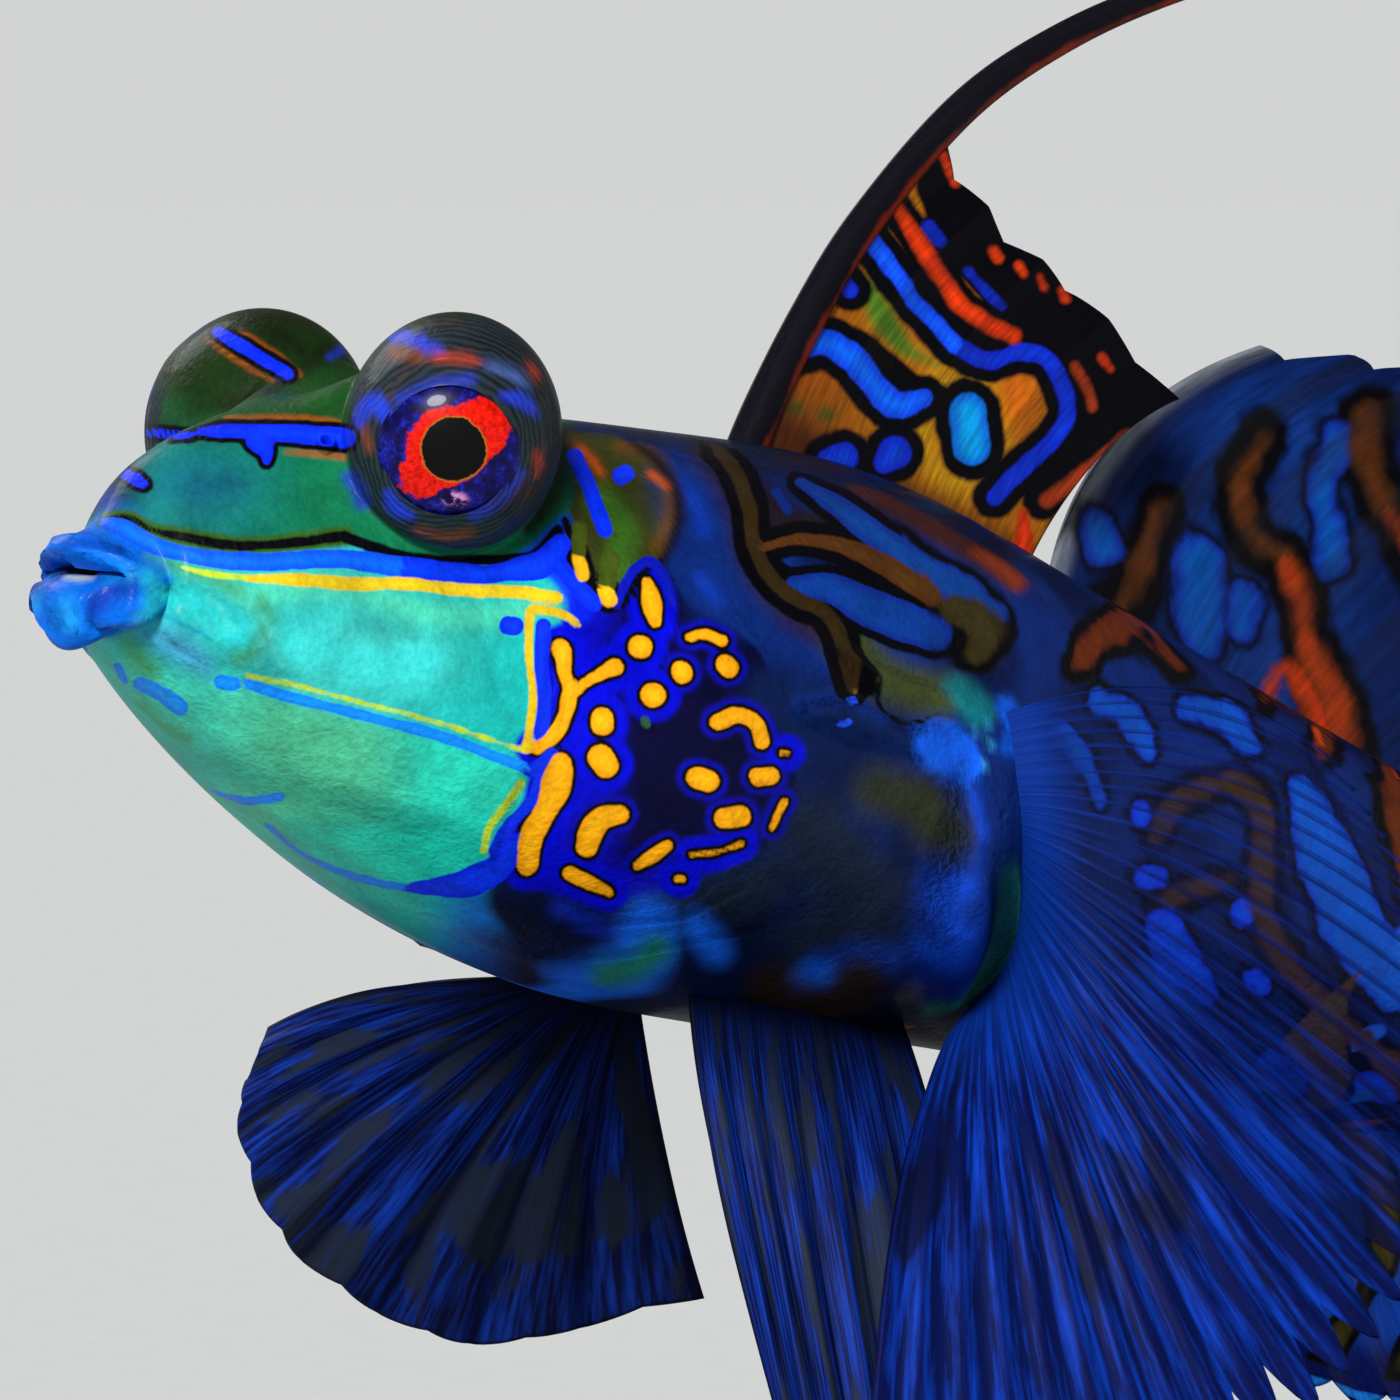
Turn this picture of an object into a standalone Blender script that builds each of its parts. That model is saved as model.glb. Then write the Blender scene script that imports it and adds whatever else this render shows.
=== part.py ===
"""A life-size mandarinfish on a small display stand, as a still museum model.

The fish is drawn straight first, in millimetres: s runs back from the lips along
the body, y is out to the fish's left and z is up. posed() then bends that straight
fish along its spine and sets it over the stand, in metres, with +Z up, the head
towards -X and the fish's left side towards -Y. The origin is the middle of the
base's underside.
"""

import math

import bmesh
import bpy
import numpy as np

MM = 0.001
GAP = 0.3

# How the fish is held
MOUTH_HEIGHT = 27.0
MOUTH_AHEAD = 31.0
SPINE_REACH = (-6.0, 76.0)
PITCH_AT = (-6.0, 10.0, 16.0, 22.0, 34.0, 50.0, 76.0)
PITCH_DEG = (10.0, 10.0, 14.0, 18.5, 17.5, 10.0, 4.0)
YAW_AT = (-6.0, 14.0, 24.0, 38.0, 52.0, 76.0)
YAW_DEG = (0.0, 0.0, 2.0, 6.0, 13.0, 22.0)

# The skin's cross-sections, from inside the mouth, round the lips and back to the tail.
# Each row: place along the skin, s, half width, top, bottom, level of the widest point.
SECTIONS = (
    (-1.6, 1.60, 0.30, 0.03, -0.05, 0.00),
    (-1.0, 1.10, 0.66, 0.06, -0.09, 0.00),
    (-0.5, 0.45, 0.98, 0.07, -0.10, 0.00),
    (-0.1, 0.08, 1.12, 0.20, -0.38, -0.03),
    (0.15, 0.00, 1.20, 0.33, -0.66, -0.08),
    (0.5, 0.18, 1.34, 0.55, -1.06, -0.18),
    (0.9, 0.55, 1.40, 0.66, -1.22, -0.24),
    (1.2, 0.90, 1.34, 0.90, -1.10, -0.20),
    (1.6, 1.20, 1.46, 1.42, -1.16, -0.16),
    (2.0, 1.50, 1.66, 1.92, -1.34, -0.20),
    (2.6, 2.10, 2.06, 2.42, -1.78, -0.32),
    (3.4, 2.90, 2.56, 2.86, -2.34, -0.50),
    (4.5, 4.00, 3.18, 3.20, -3.02, -0.75),
    (6.5, 6.00, 4.05, 3.55, -4.12, -1.05),
    (8.5, 8.00, 4.75, 3.80, -5.00, -1.20),
    (12.5, 12.00, 5.40, 4.15, -5.95, -1.15),
    (16.5, 16.00, 5.30, 4.45, -5.95, -0.85),
    (22.5, 22.00, 4.45, 3.85, -5.10, -0.55),
    (30.5, 30.00, 3.40, 3.20, -4.00, -0.30),
    (40.5, 40.00, 2.30, 2.55, -2.95, -0.15),
    (47.5, 47.00, 1.50, 2.20, -2.45, -0.10),
    (52.5, 52.00, 0.85, 2.15, -2.35, -0.10),
)
LIP_CORNER_SET_BACK = 0.70
LIP_ENDS_AT = 2.2
SKIN_START = SECTIONS[0][0]
HEAD_END = 15.2
TORSO_END = 36.0
STEM_END = 50.4

# Eyes: a dome on each side of the forehead, with a flattened ball set in a cup
EYE_DOME = (6.05, 2.72, 3.13)
EYE_ROOT = (6.00, 1.50, 2.00)
GAZE_LEFT = (-0.62, 0.77, -0.21)
GAZE_RIGHT = (-0.08, -0.99, -0.06)
DOME_ALONG_GAZE = 2.06
DOME_ACROSS = 1.88
DOME_UPRIGHT = 2.13
EYE_BALL_RADIUS = 1.14
EYE_BALL_DEPTH = 0.46
EYE_PROUD = 0.0
RIM_RADIUS = EYE_BALL_RADIUS + GAP + 0.17
RIM_WIDTH = 0.17
RIM_HEIGHT = 0.10
CREASE = 0.12
BROW_SOFT = 0.75
BROW_PINCH = 0.55
WEB_AT = (6.3, 2.0)
WEB_HEIGHT = 1.0
SADDLE_HEIGHT = 0.35

# Lips, the fold behind them, the nostrils and the fleshy roots of the pectoral fins
LIP_LOBE = 0.19
FOLD_SWELL = 0.16
NOSTRIL_AT = (4.15, 44.0)
NOSTRIL_RADIUS = 0.15
NOSTRIL_HEIGHT = 0.24
SHOULDER_AT = (17.7, -26.0)
SHOULDER_SWELL = 0.45

# The stand
BASE_LENGTH = 66.0
BASE_WIDTH = 36.0
BASE_HEIGHT = 4.0
BASE_PROFILE = ((0.0, 0.4), (0.4, 0.0), (2.9, 0.0), (3.35, 0.14), (3.7, 0.45), (4.0, 1.1))
FRONT_ROD = (24.0, 1.1)
REAR_ROD = (46.0, 0.75)

# Fins
FIN_THICKNESS = 0.5
RAY_RIDGE = 0.14


def smooth(x, knots, values):
    """A smooth curve through the values given at the knots (a cubic Hermite spline)."""
    x, knots, values = (np.asarray(a, float) for a in (x, knots, values))
    slopes = np.gradient(values, knots)
    i = np.clip(np.searchsorted(knots, x) - 1, 0, len(knots) - 2)
    width = knots[i + 1] - knots[i]
    t = np.clip((x - knots[i]) / width, 0.0, 1.0)
    return (
        values[i] * (1 + 2 * t) * (1 - t) ** 2
        + slopes[i] * width * t * (1 - t) ** 2
        + values[i + 1] * t * t * (3 - 2 * t)
        + slopes[i + 1] * width * t * t * (t - 1)
    )


def smooth_points(x, knots, points):
    """smooth() for each coordinate of a row of points."""
    points = np.asarray(points, float)
    return np.stack([smooth(x, knots, points[:, k]) for k in range(points.shape[1])], -1)


def step(x):
    """0 below 0, 1 above 1, and smooth between them."""
    t = np.clip(x, 0.0, 1.0)
    return t * t * (3 - 2 * t)


def bump(x, centre, width):
    """A soft hill of height 1 at the centre (a Gaussian)."""
    return np.exp(-(((x - centre) / width) ** 2))


def unit(v):
    """The vectors at length 1."""
    v = np.asarray(v, float)
    return v / np.maximum(np.linalg.norm(v, axis=-1, keepdims=True), 1e-12)


def spine_table():
    """Points and axes along the bent spine: s, place, tail-wards, left and up."""
    s = np.linspace(*SPINE_REACH, 821)
    pitch = np.radians(smooth(s, PITCH_AT, PITCH_DEG))
    yaw = np.radians(smooth(s, YAW_AT, YAW_DEG))
    back = np.stack(
        [np.cos(yaw) * np.cos(pitch), np.sin(yaw) * np.cos(pitch), -np.sin(pitch)], -1
    )
    left = np.stack([np.sin(yaw), -np.cos(yaw), np.zeros_like(s)], -1)
    up = np.cross(left, back)
    middle = (back[1:] + back[:-1]) / 2
    place = np.vstack([np.zeros(3), np.cumsum(middle * np.diff(s)[:, None], axis=0)])
    place = place - smooth_points(0.0, s, place)
    return s, place + np.array([-MOUTH_AHEAD, 0.0, MOUTH_HEIGHT]), back, left, up


SPINE = spine_table()


def posed(points):
    """Straight-fish points (s, y, z) in millimetres, bent along the spine, in metres."""
    points = np.asarray(points, float)
    s, place, back, left, up = SPINE
    out = np.empty_like(points)
    for k in range(3):
        out[..., k] = (
            np.interp(points[..., 0], s, place[:, k])
            + points[..., 1] * np.interp(points[..., 0], s, left[:, k])
            + points[..., 2] * np.interp(points[..., 0], s, up[:, k])
        )
    return out * MM


def eye_frame(side):
    """The dome's centre and its three axes: along the gaze, across it and upright."""
    gaze = unit(GAZE_LEFT if side > 0 else GAZE_RIGHT)
    across = unit(np.cross(gaze, (0.0, 0.0, 1.0)))
    centre = np.array(EYE_DOME) * (1, side, 1)
    return centre, np.stack([gaze, across, np.cross(across, gaze)])


def swell_eyes(points):
    """Pushes the skin out from a root point inside the head onto the two eye domes.

    The crease round a dome is sharp over the cheek and soft over the forehead.
    """
    radii = np.array([DOME_ALONG_GAZE, DOME_ACROSS, DOME_UPRIGHT])
    for side in (1, -1):
        centre, axes = eye_frame(side)
        root = np.array(EYE_ROOT) * (1, side, 1)
        reach = points - root
        distance = np.linalg.norm(reach, axis=-1)
        way = reach / np.maximum(distance, 1e-9)[..., None]
        w, o = (way @ axes.T) / radii, (axes @ (root - centre)) / radii
        a, b, c = (w * w).sum(-1), (w * o).sum(-1), (o * o).sum(-1) - 1
        dome = (-b + np.sqrt(np.maximum(b * b - a * c, 0))) / a
        crease = CREASE + BROW_SOFT * step(-side * way[..., 1] * 1.4 + 0.1)
        over = (dome - distance) / crease
        push = crease * np.where(np.abs(over) < 1, (over + 1) ** 2 / 4, over)
        points = root + way * (distance + np.where(over > -1, push, 0.0))[..., None]
        along, off = (points - centre) @ axes[0], (points - centre) @ axes[1:].T
        lid = RIM_HEIGHT * bump(np.linalg.norm(off, axis=-1), RIM_RADIUS, RIM_WIDTH)
        points = points + np.where(along > 0, lid, 0.0)[..., None] * axes[0]
    return points


def skin(place, angle):
    """The skin at a place along it and an angle round it, from the left side over the back.

    Each cross-section is two half ellipses that meet at the widest level, pinched in
    above the cheeks and raised in a web between the eyes. The lips' corners are set back, the lower lip is lobed, a fold
    swells behind the lips' corners, and the eye domes are pushed out.
    """
    place, angle = np.broadcast_arrays(np.asarray(place, float), np.asarray(angle, float))
    table = np.array(SECTIONS)
    s, width, top, bottom, level = (
        smooth(place, table[:, 0], table[:, k]) for k in range(1, 6)
    )
    across, up = np.cos(angle), np.sin(angle)
    on_lips = step((LIP_ENDS_AT - np.abs(place)) / LIP_ENDS_AT * 1.6)
    s = s + LIP_CORNER_SET_BACK * across**2 * on_lips
    pinch = BROW_PINCH * bump(place, 5.5, 4.0) * np.maximum(up, 0.0) ** 1.5
    y = width * across * (1 + 0.10 * (across * up) ** 2 - pinch)
    z = level + np.where(up > 0, top - level, level - bottom) * up
    web = SADDLE_HEIGHT + WEB_HEIGHT * step(np.abs(y) / 1.3)
    z = z + web * bump(place, *WEB_AT) * step((up - 0.35) / 0.4)
    below = np.degrees(np.arctan2(up, np.abs(across)))
    lobes = bump(below, -28, 17) - bump(below, -57, 9) + bump(below, -90, 22)
    swell = LIP_LOBE * bump(place, 0.75, 0.45) * lobes
    swell = swell + FOLD_SWELL * bump(place, 3.1, 0.7) * bump(below, -12, 17)
    shoulder = bump(place, SHOULDER_AT[0], 1.1) * bump(below, SHOULDER_AT[1], 28)
    swell = swell + SHOULDER_SWELL * shoulder
    y, z = y + swell * across, z + swell * up
    return swell_eyes(np.stack([s, y, z], -1))


def on_skin(s, angle_deg, lift=0.0):
    """A straight-fish point on the skin at s and an angle in degrees, lifted off it."""
    a, e = math.radians(angle_deg), 0.02
    p = skin(s + 0.5, a)
    normal = unit(np.cross(skin(s + 0.5 + e, a) - p, skin(s + 0.5, a + e) - p))
    if normal @ (p - np.array([p[0], 0.0, 0.0])) < 0:
        normal = -normal
    return p + lift * normal


def make_object(name, points, triangles, material, smooth_shading=True):
    """A mesh object from straight lists of points (metres) and triangles."""
    mesh = bpy.data.meshes.new(name)
    mesh.from_pydata(np.asarray(points).tolist(), [], np.asarray(triangles).tolist())
    mesh.materials.append(material)
    mesh.validate()
    work = bmesh.new()
    work.from_mesh(mesh)
    bmesh.ops.recalc_face_normals(work, faces=work.faces)
    work.to_mesh(mesh)
    work.free()
    if smooth_shading:
        mesh.shade_smooth()
    made = bpy.data.objects.new(name, mesh)
    bpy.context.scene.collection.objects.link(made)
    return made


def grid_triangles(rows, columns, wrap=False, first=0):
    """Two triangles for each cell of a grid of points, all split the same way."""
    i, j = np.meshgrid(
        np.arange(rows - 1), np.arange(columns if wrap else columns - 1), indexing="ij"
    )
    a = first + i * columns + j
    b = first + i * columns + (j + 1) % columns
    c, d = a + columns, b + columns
    return np.concatenate(
        [np.stack([a, c, b], -1).reshape(-1, 3), np.stack([b, c, d], -1).reshape(-1, 3)]
    )


def tube(name, rings, material):
    """A closed solid from rings of points, with a point at the middle of each end."""
    rows, columns = rings.shape[:2]
    points = np.vstack([rings.reshape(-1, 3), rings[0].mean(0), rings[-1].mean(0)])
    start, end = rows * columns, rows * columns + 1
    j = np.arange(columns)
    k = (j + 1) % columns
    last = (rows - 1) * columns
    caps = np.concatenate(
        [
            np.stack([np.full(columns, start), j, k], -1),
            np.stack([np.full(columns, end), last + k, last + j], -1),
        ]
    )
    faces = np.vstack([grid_triangles(rows, columns, wrap=True), caps])
    return make_object(name, points, faces, material)


def slab(name, middle, half, material):
    """A closed slab: a curved grid of middle points, given half its thickness each way.

    Both faces are split into triangles alike, so a thin curved fin can't cross itself.
    """
    rows, columns = middle.shape[:2]
    along = np.gradient(middle, axis=0)
    across = np.gradient(middle, axis=1)
    normal = unit(np.cross(along, across))
    points = np.vstack(
        [(middle + half[..., None] * normal).reshape(-1, 3),
         (middle - half[..., None] * normal).reshape(-1, 3)]
    )
    front = grid_triangles(rows, columns)
    back = front[:, ::-1] + rows * columns
    index = np.arange(rows * columns).reshape(rows, columns)
    border = np.concatenate(
        [index[0, :-1], index[:-1, -1], index[-1, :0:-1], index[:0:-1, 0]]
    )
    after = np.roll(border, -1)
    under = rows * columns
    walls = np.concatenate(
        [np.stack([border, after, border + under], -1),
         np.stack([after, after + under, border + under], -1)]
    )
    return make_object(name, posed(points), np.vstack([front, back, walls]), material)


def fan(across, keys, roots, middles, tips, down):
    """Points of a fan of curved rays: across picks the ray, down runs root to tip.

    Each ray is a quadratic curve from its root by way of its middle to its tip, and
    roots, middles and tips are smooth through the few key rays given.
    """
    root, middle, tip = (
        smooth_points(across, keys, p)[None] for p in (roots, middles, tips)
    )
    v = down[..., None]
    return root * (1 - v) ** 2 + 2 * v * (1 - v) * middle + v * v * tip


def rayed_fin(name, rays, keys, roots, middles, tips, material, rows=7, notch=0.05,
              pleat=0.0):
    """A fin with rays raised on both faces of its membrane, their tips standing out."""
    columns = 2 * rays + 1
    across = np.linspace(0, 1, columns)
    on_ray = np.arange(columns) % 2 == 0
    reach = np.where(on_ray, 1.0, 1.0 - notch)
    down = np.linspace(0, 1, rows)[:, None] ** 0.9 * reach[None]
    middle = fan(across, keys, roots, middles, tips, down)
    normal = unit(np.cross(np.gradient(middle, axis=0), np.gradient(middle, axis=1)))
    middle = middle + normal * (np.where(on_ray, 1.0, -1.0) * pleat * down)[..., None]
    thin = 1 - 0.35 * down
    half = (FIN_THICKNESS / 2 + np.where(on_ray, RAY_RIDGE, 0.0)) * thin
    return slab(name, middle, half, material)


def finish(name, colour, roughness, metallic=0.0):
    """A plain material in the part's own colour."""
    made = bpy.data.materials.new(name)
    made.use_nodes = True
    shader = made.node_tree.nodes["Principled BSDF"]
    shader.inputs["Base Color"].default_value = (*colour, 1.0)
    shader.inputs["Roughness"].default_value = roughness
    shader.inputs["Metallic"].default_value = metallic
    return made


def spread(start, end, count, peaks):
    """Steps from start to end that are closer together at the peaks.

    Each peak is a centre, a width and how many times closer the steps are there.
    """
    fine = np.linspace(start, end, 4001)
    density = 1.0 + sum(extra * bump(fine, centre, width) for centre, width, extra in peaks)
    share = np.concatenate([[0.0], np.cumsum((density[1:] + density[:-1]) / 2)])
    return np.interp(np.linspace(0, share[-1], count), share, fine)


def skin_length(name, place, degrees, material):
    """One length of the body, from places along the skin and angles round it."""
    angle = np.radians(degrees)[None]
    return tube(name, posed(skin(place[:, None], angle)), material)


def nostril(side, material):
    """A short tube that stands out of the snout in front of the eye."""
    s, degrees = NOSTRIL_AT
    degrees = degrees if side > 0 else 180 - degrees
    foot, top = (on_skin(s, degrees, lift) for lift in (-0.2, NOSTRIL_HEIGHT))
    way = unit(top - foot)
    aside = unit(np.cross(way, (0.0, 0.0, 1.0)))
    turn = np.linspace(0, 2 * np.pi, 8, endpoint=False)[None, :, None]
    ring = NOSTRIL_RADIUS * (np.cos(turn) * aside + np.sin(turn) * np.cross(way, aside))
    wide = np.array([1.3, 1.1, 1.0])[:, None, None]
    centres = np.linspace(foot, top, 3)[:, None]
    return tube("nostril", posed(centres + wide * ring), material)


def ball_rings(side, grow=0.0, rings=9, around=24):
    """Rings of points on the flattened eyeball, grown by a clearance."""
    centre, axes = eye_frame(side)
    seat = centre + axes[0] * (DOME_ALONG_GAZE + EYE_PROUD - EYE_BALL_DEPTH)
    polar = np.linspace(0.14, np.pi - 0.14, rings)[:, None]
    turn = np.linspace(0, 2 * np.pi, around, endpoint=False)[None]
    out = (EYE_BALL_RADIUS + grow) * np.sin(polar)
    deep = (EYE_BALL_DEPTH + grow) * np.cos(polar)
    return posed(
        seat + (deep + 0 * turn)[..., None] * axes[0]
        + (out * np.cos(turn))[..., None] * axes[1]
        + (out * np.sin(turn))[..., None] * axes[2]
    )


def eyeball(name, side, material):
    """A flattened ball that looks along the gaze."""
    return tube(name, ball_rings(side), material)


def combine(base, others, operation):
    """Applies one Boolean of closed pieces to the base and removes them."""
    group = bpy.data.collections.new("pieces")
    for other in others:
        group.objects.link(other)
        bpy.context.scene.collection.objects.unlink(other)
    change = base.modifiers.new("combine", "BOOLEAN")
    change.operation = operation
    change.operand_type = "COLLECTION"
    change.solver = "MANIFOLD"
    change.collection = group
    bpy.context.scene.collection.children.link(group)
    graph = bpy.context.evaluated_depsgraph_get()
    mesh = bpy.data.meshes.new_from_object(base.evaluated_get(graph))
    base.modifiers.clear()
    base.data = mesh
    for other in others:
        bpy.data.objects.remove(other)
    bpy.data.collections.remove(group)
    return base


def mirrored(points, side):
    """The same points on the fish's other side when side is -1."""
    return np.asarray(points, float) * (1, side, 1)


def pectoral_fin(name, side, material):
    """The big fan behind the gill cover: spread out and down, or folded back."""
    lift = GAP + 0.08
    roots = [
        on_skin(17.3, 12, lift), on_skin(17.8, -3, lift), on_skin(18.5, -17, lift),
        on_skin(19.4, -36, lift), on_skin(20.0, -56, lift),
    ]
    if side > 0:
        middles = [(19.7, 6.9, 2.1), (20.4, 7.8, -0.2), (19.8, 8.3, -4.2),
                   (18.1, 7.8, -7.3), (14.8, 6.6, -7.2)]
        tips = [(22.9, 7.6, 0.9), (25.1, 9.0, -2.0), (25.6, 10.0, -6.8),
                (21.7, 9.4, -12.5), (15.0, 7.6, -13.7)]
    else:
        middles = [(20.4, 6.6, 1.6), (21.8, 7.8, -0.6), (22.0, 7.8, -3.2),
                   (22.2, 7.0, -4.6), (21.8, 6.2, -4.9)]
        tips = [(24.6, 7.0, 1.4), (27.2, 8.4, -1.8), (27.0, 8.4, -5.6),
                (26.8, 7.8, -7.0), (25.4, 7.0, -7.4)]
    return rayed_fin(
        name, 20, (0.0, 0.25, 0.5, 0.78, 1.0), mirrored(roots, side),
        mirrored(middles, side), mirrored(tips, side), material, rows=9, notch=0.06,
    )


def pelvic_fin_left(material):
    """The near pelvic fin, held down like a folded fan."""
    lift = GAP + 0.08
    roots = [on_skin(13.7, -68, lift), on_skin(15.9, -66, lift), on_skin(18.8, -68, lift)]
    middles = [(13.4, 3.4, -8.4), (15.4, 4.2, -9.0), (18.2, 4.8, -8.4)]
    tips = [(16.6, 4.4, -14.1), (17.4, 5.4, -14.1), (19.4, 5.8, -12.7)]
    return rayed_fin(
        "pelvic_fin_left", 6, (0.0, 0.5, 1.0), roots, middles, tips, material,
        rows=8, notch=0.05,
    )


def pelvic_fin_right(material):
    """The far pelvic fin, spread wide under the head."""
    lift = GAP + 0.08
    roots = mirrored(
        [on_skin(s, -68, lift) for s in (12.9, 13.7, 14.5, 15.3, 16.2)], -1,
    )
    middles = [(11.4, -4.8, -6.2), (12.0, -5.2, -7.4), (13.8, -5.4, -8.8),
               (16.5, -5.0, -9.3), (18.9, -3.9, -7.6)]
    tips = [(11.3, -7.0, -7.2), (11.8, -8.0, -9.1), (14.4, -8.4, -11.2),
            (19.1, -7.8, -12.0), (22.9, -5.4, -10.1)]
    return rayed_fin(
        "pelvic_fin_right", 8, (0.0, 0.25, 0.5, 0.75, 1.0), roots, middles, tips, material,
        rows=8, notch=0.04,
    )


def dorsal_fin_first(material):
    """The sail of four spines, the first drawn out into a long streamer."""
    lift = GAP + 0.08
    roots = [on_skin(s, 90, lift) for s in (14.5, 16.6, 18.9, 21.4)]
    middles = [(14.9, 0, 8.0), (17.0, 0.1, 7.5), (19.1, 0.4, 6.9), (21.5, 0.7, 6.5)]
    tips = [(17.5, 0, 10.8), (18.9, 0.3, 9.6), (20.6, 0.7, 8.9), (23.0, 1.1, 7.7)]
    sail = rayed_fin(
        "dorsal_fin_first", 4, (0.0, 0.33, 0.66, 1.0), roots, middles, tips, material,
        rows=9, notch=0.03,
    )
    path = np.array([(14.75, 0, 5.25), (15.4, 0, 6.9), (16.2, 0, 8.8), (17.8, 0, 11.5),
                     (19.5, 0, 13.4), (21.4, 0, 15.0), (23.8, 0, 16.6), (26.4, 0, 18.0)])
    at = np.linspace(0, 1, 14)
    line = smooth_points(at, np.linspace(0, 1, len(path)), path)
    deep, wide = 0.44 - 0.26 * at, 0.34 - 0.22 * at
    turn = np.linspace(0, 2 * np.pi, 8, endpoint=False)
    forward = unit(np.gradient(line, axis=0))
    side = np.array([0.0, 1.0, 0.0])
    up = np.cross(forward, side)
    rings = (
        line[:, None]
        + (wide[:, None] * np.cos(turn))[..., None] * side
        + (deep[:, None] * np.sin(turn))[..., None] * up[:, None]
    )
    streamer = tube("streamer", posed(rings), material)
    return combine(sail, [streamer], "UNION")


def dorsal_fin_second(material):
    """The tall soft-rayed sail behind the first."""
    lift = GAP + 0.08
    roots = [on_skin(s, 90, lift) for s in (22.3, 25.8, 30.0, 34.4, 37.2)]
    middles = [(23.4, -0.8, 7.9), (27.8, -0.6, 8.2), (33.0, -0.2, 7.2), (38.0, 0, 5.8),
               (41.2, 0, 4.6)]
    tips = [(27.8, -0.9, 10.1), (32.2, -0.6, 11.0), (37.2, -0.3, 10.4), (42.2, 0, 8.8),
            (45.4, 0, 6.8)]
    return rayed_fin(
        "dorsal_fin_second", 9, (0.0, 0.25, 0.5, 0.8, 1.0), roots, middles, tips, material,
        rows=8, notch=0.05,
    )


def anal_fin(material):
    """The soft fin under the tail stem."""
    lift = GAP + 0.08
    roots = [on_skin(s, -90, lift) for s in (28.0, 32.4, 37.4)]
    middles = [(28.4, 0, -6.6), (33.8, 0, -6.0), (39.6, 0, -4.6)]
    tips = [(30.2, 0, -8.4), (36.4, 0, -8.4), (42.2, 0, -6.2)]
    return rayed_fin(
        "anal_fin", 8, (0.0, 0.5, 1.0), roots, middles, tips, material, rows=7, notch=0.05
    )


def caudal_fin(material):
    """The rounded tail fin."""
    start = STEM_END - 0.5 + GAP + 0.1
    roots = [(start, 0, 1.9), (start, 0, 0.9), (start, 0, 0.0), (start, 0, -1.0),
             (start, 0, -2.0)]
    middles = [(start + 5.5, 0, 3.9), (start + 6.6, 0, 2.0), (start + 7.4, 0, -0.1),
               (start + 6.6, 0, -2.2), (start + 5.5, 0, -4.1)]
    tips = [(start + 11.0, 0, 5.3), (start + 13.9, 0, 3.2), (start + 15.0, 0, -0.2),
            (start + 13.9, 0, -3.6), (start + 11.0, 0, -5.7)]
    return rayed_fin(
        "caudal_fin", 12, (0.0, 0.25, 0.5, 0.75, 1.0), roots, middles, tips, material,
        rows=8, notch=0.04,
    )


def stand_base(material):
    """A low oval plinth with a bevelled edge."""
    turn = np.linspace(0, 2 * np.pi, 72, endpoint=False)
    rings = []
    for height, inset in BASE_PROFILE:
        x = (BASE_LENGTH / 2 - inset) * np.cos(turn)
        y = (BASE_WIDTH / 2 - inset) * np.sin(turn)
        rings.append(np.stack([x, y, np.full_like(x, height)], -1))
    return tube("stand_base", np.array(rings) * MM, material)


def stand_rod(name, s, radius, material):
    """A short rod from the base up to the belly at s, its end cut to the belly's slope."""
    foot = posed(on_skin(s, -90, GAP))
    turn = np.linspace(0, 2 * np.pi, 24, endpoint=False)
    x = foot[0] + radius * MM * np.cos(turn)
    y = foot[1] + radius * MM * np.sin(turn)
    ahead, behind = (posed(on_skin(s + d, -90, GAP)) for d in (-1.0, 1.0))
    slope = (behind[2] - ahead[2]) / (behind[0] - ahead[0])
    top = foot[2] + slope * (x - foot[0])
    low = np.full_like(top, (BASE_HEIGHT + GAP) * MM)
    rings = np.stack([np.stack([x, y, low], -1), np.stack([x, y, top], -1)])
    return tube(name, rings, material)


def main():
    for old in list(bpy.data.objects):
        bpy.data.objects.remove(old)
    flesh = finish("painted_skin", (0.02, 0.12, 0.55), 0.35)
    membrane = finish("fin_membrane", (0.02, 0.06, 0.45), 0.4)
    sail = finish("banded_fin", (0.75, 0.22, 0.03), 0.4)
    eye = finish("eye_glass", (0.75, 0.05, 0.02), 0.08)
    wood = finish("stand_wood", (0.03, 0.02, 0.018), 0.4)
    steel = finish("stand_steel", (0.6, 0.6, 0.6), 0.3, 1.0)

    eyes = ((42.0, 20.0, 3.2), (138.0, 20.0, 3.2))
    around = spread(0.0, 360.0, 77, eyes)[:-1]
    along = spread(SKIN_START, HEAD_END, 44, ((0.6, 1.0, 2.6), (6.45, 1.1, 3.4)))
    head = skin_length("head", along, around, flesh)
    combine(head, [nostril(side, flesh) for side in (1, -1)], "UNION")
    cups = [tube("cup", ball_rings(side, GAP, 11, 28), flesh) for side in (1, -1)]
    combine(head, cups, "DIFFERENCE")
    round_body = np.arange(40) * 9.0
    skin_length("torso", np.linspace(HEAD_END + GAP, TORSO_END, 18), round_body, flesh)
    round_stem = np.arange(28) * 360.0 / 28
    skin_length("tail_stem", np.linspace(TORSO_END + GAP, STEM_END, 9), round_stem, flesh)
    eyeball("eye_left", 1, eye)
    eyeball("eye_right", -1, eye)
    pectoral_fin("pectoral_fin_left", 1, membrane)
    pectoral_fin("pectoral_fin_right", -1, membrane)
    pelvic_fin_left(membrane)
    pelvic_fin_right(membrane)
    dorsal_fin_first(sail)
    dorsal_fin_second(sail)
    anal_fin(sail)
    caudal_fin(sail)
    stand_base(wood)
    stand_rod("stand_rod_front", *FRONT_ROD, steel)
    stand_rod("stand_rod_rear", *REAR_ROD, steel)


if __name__ == "__main__":
    main()
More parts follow.
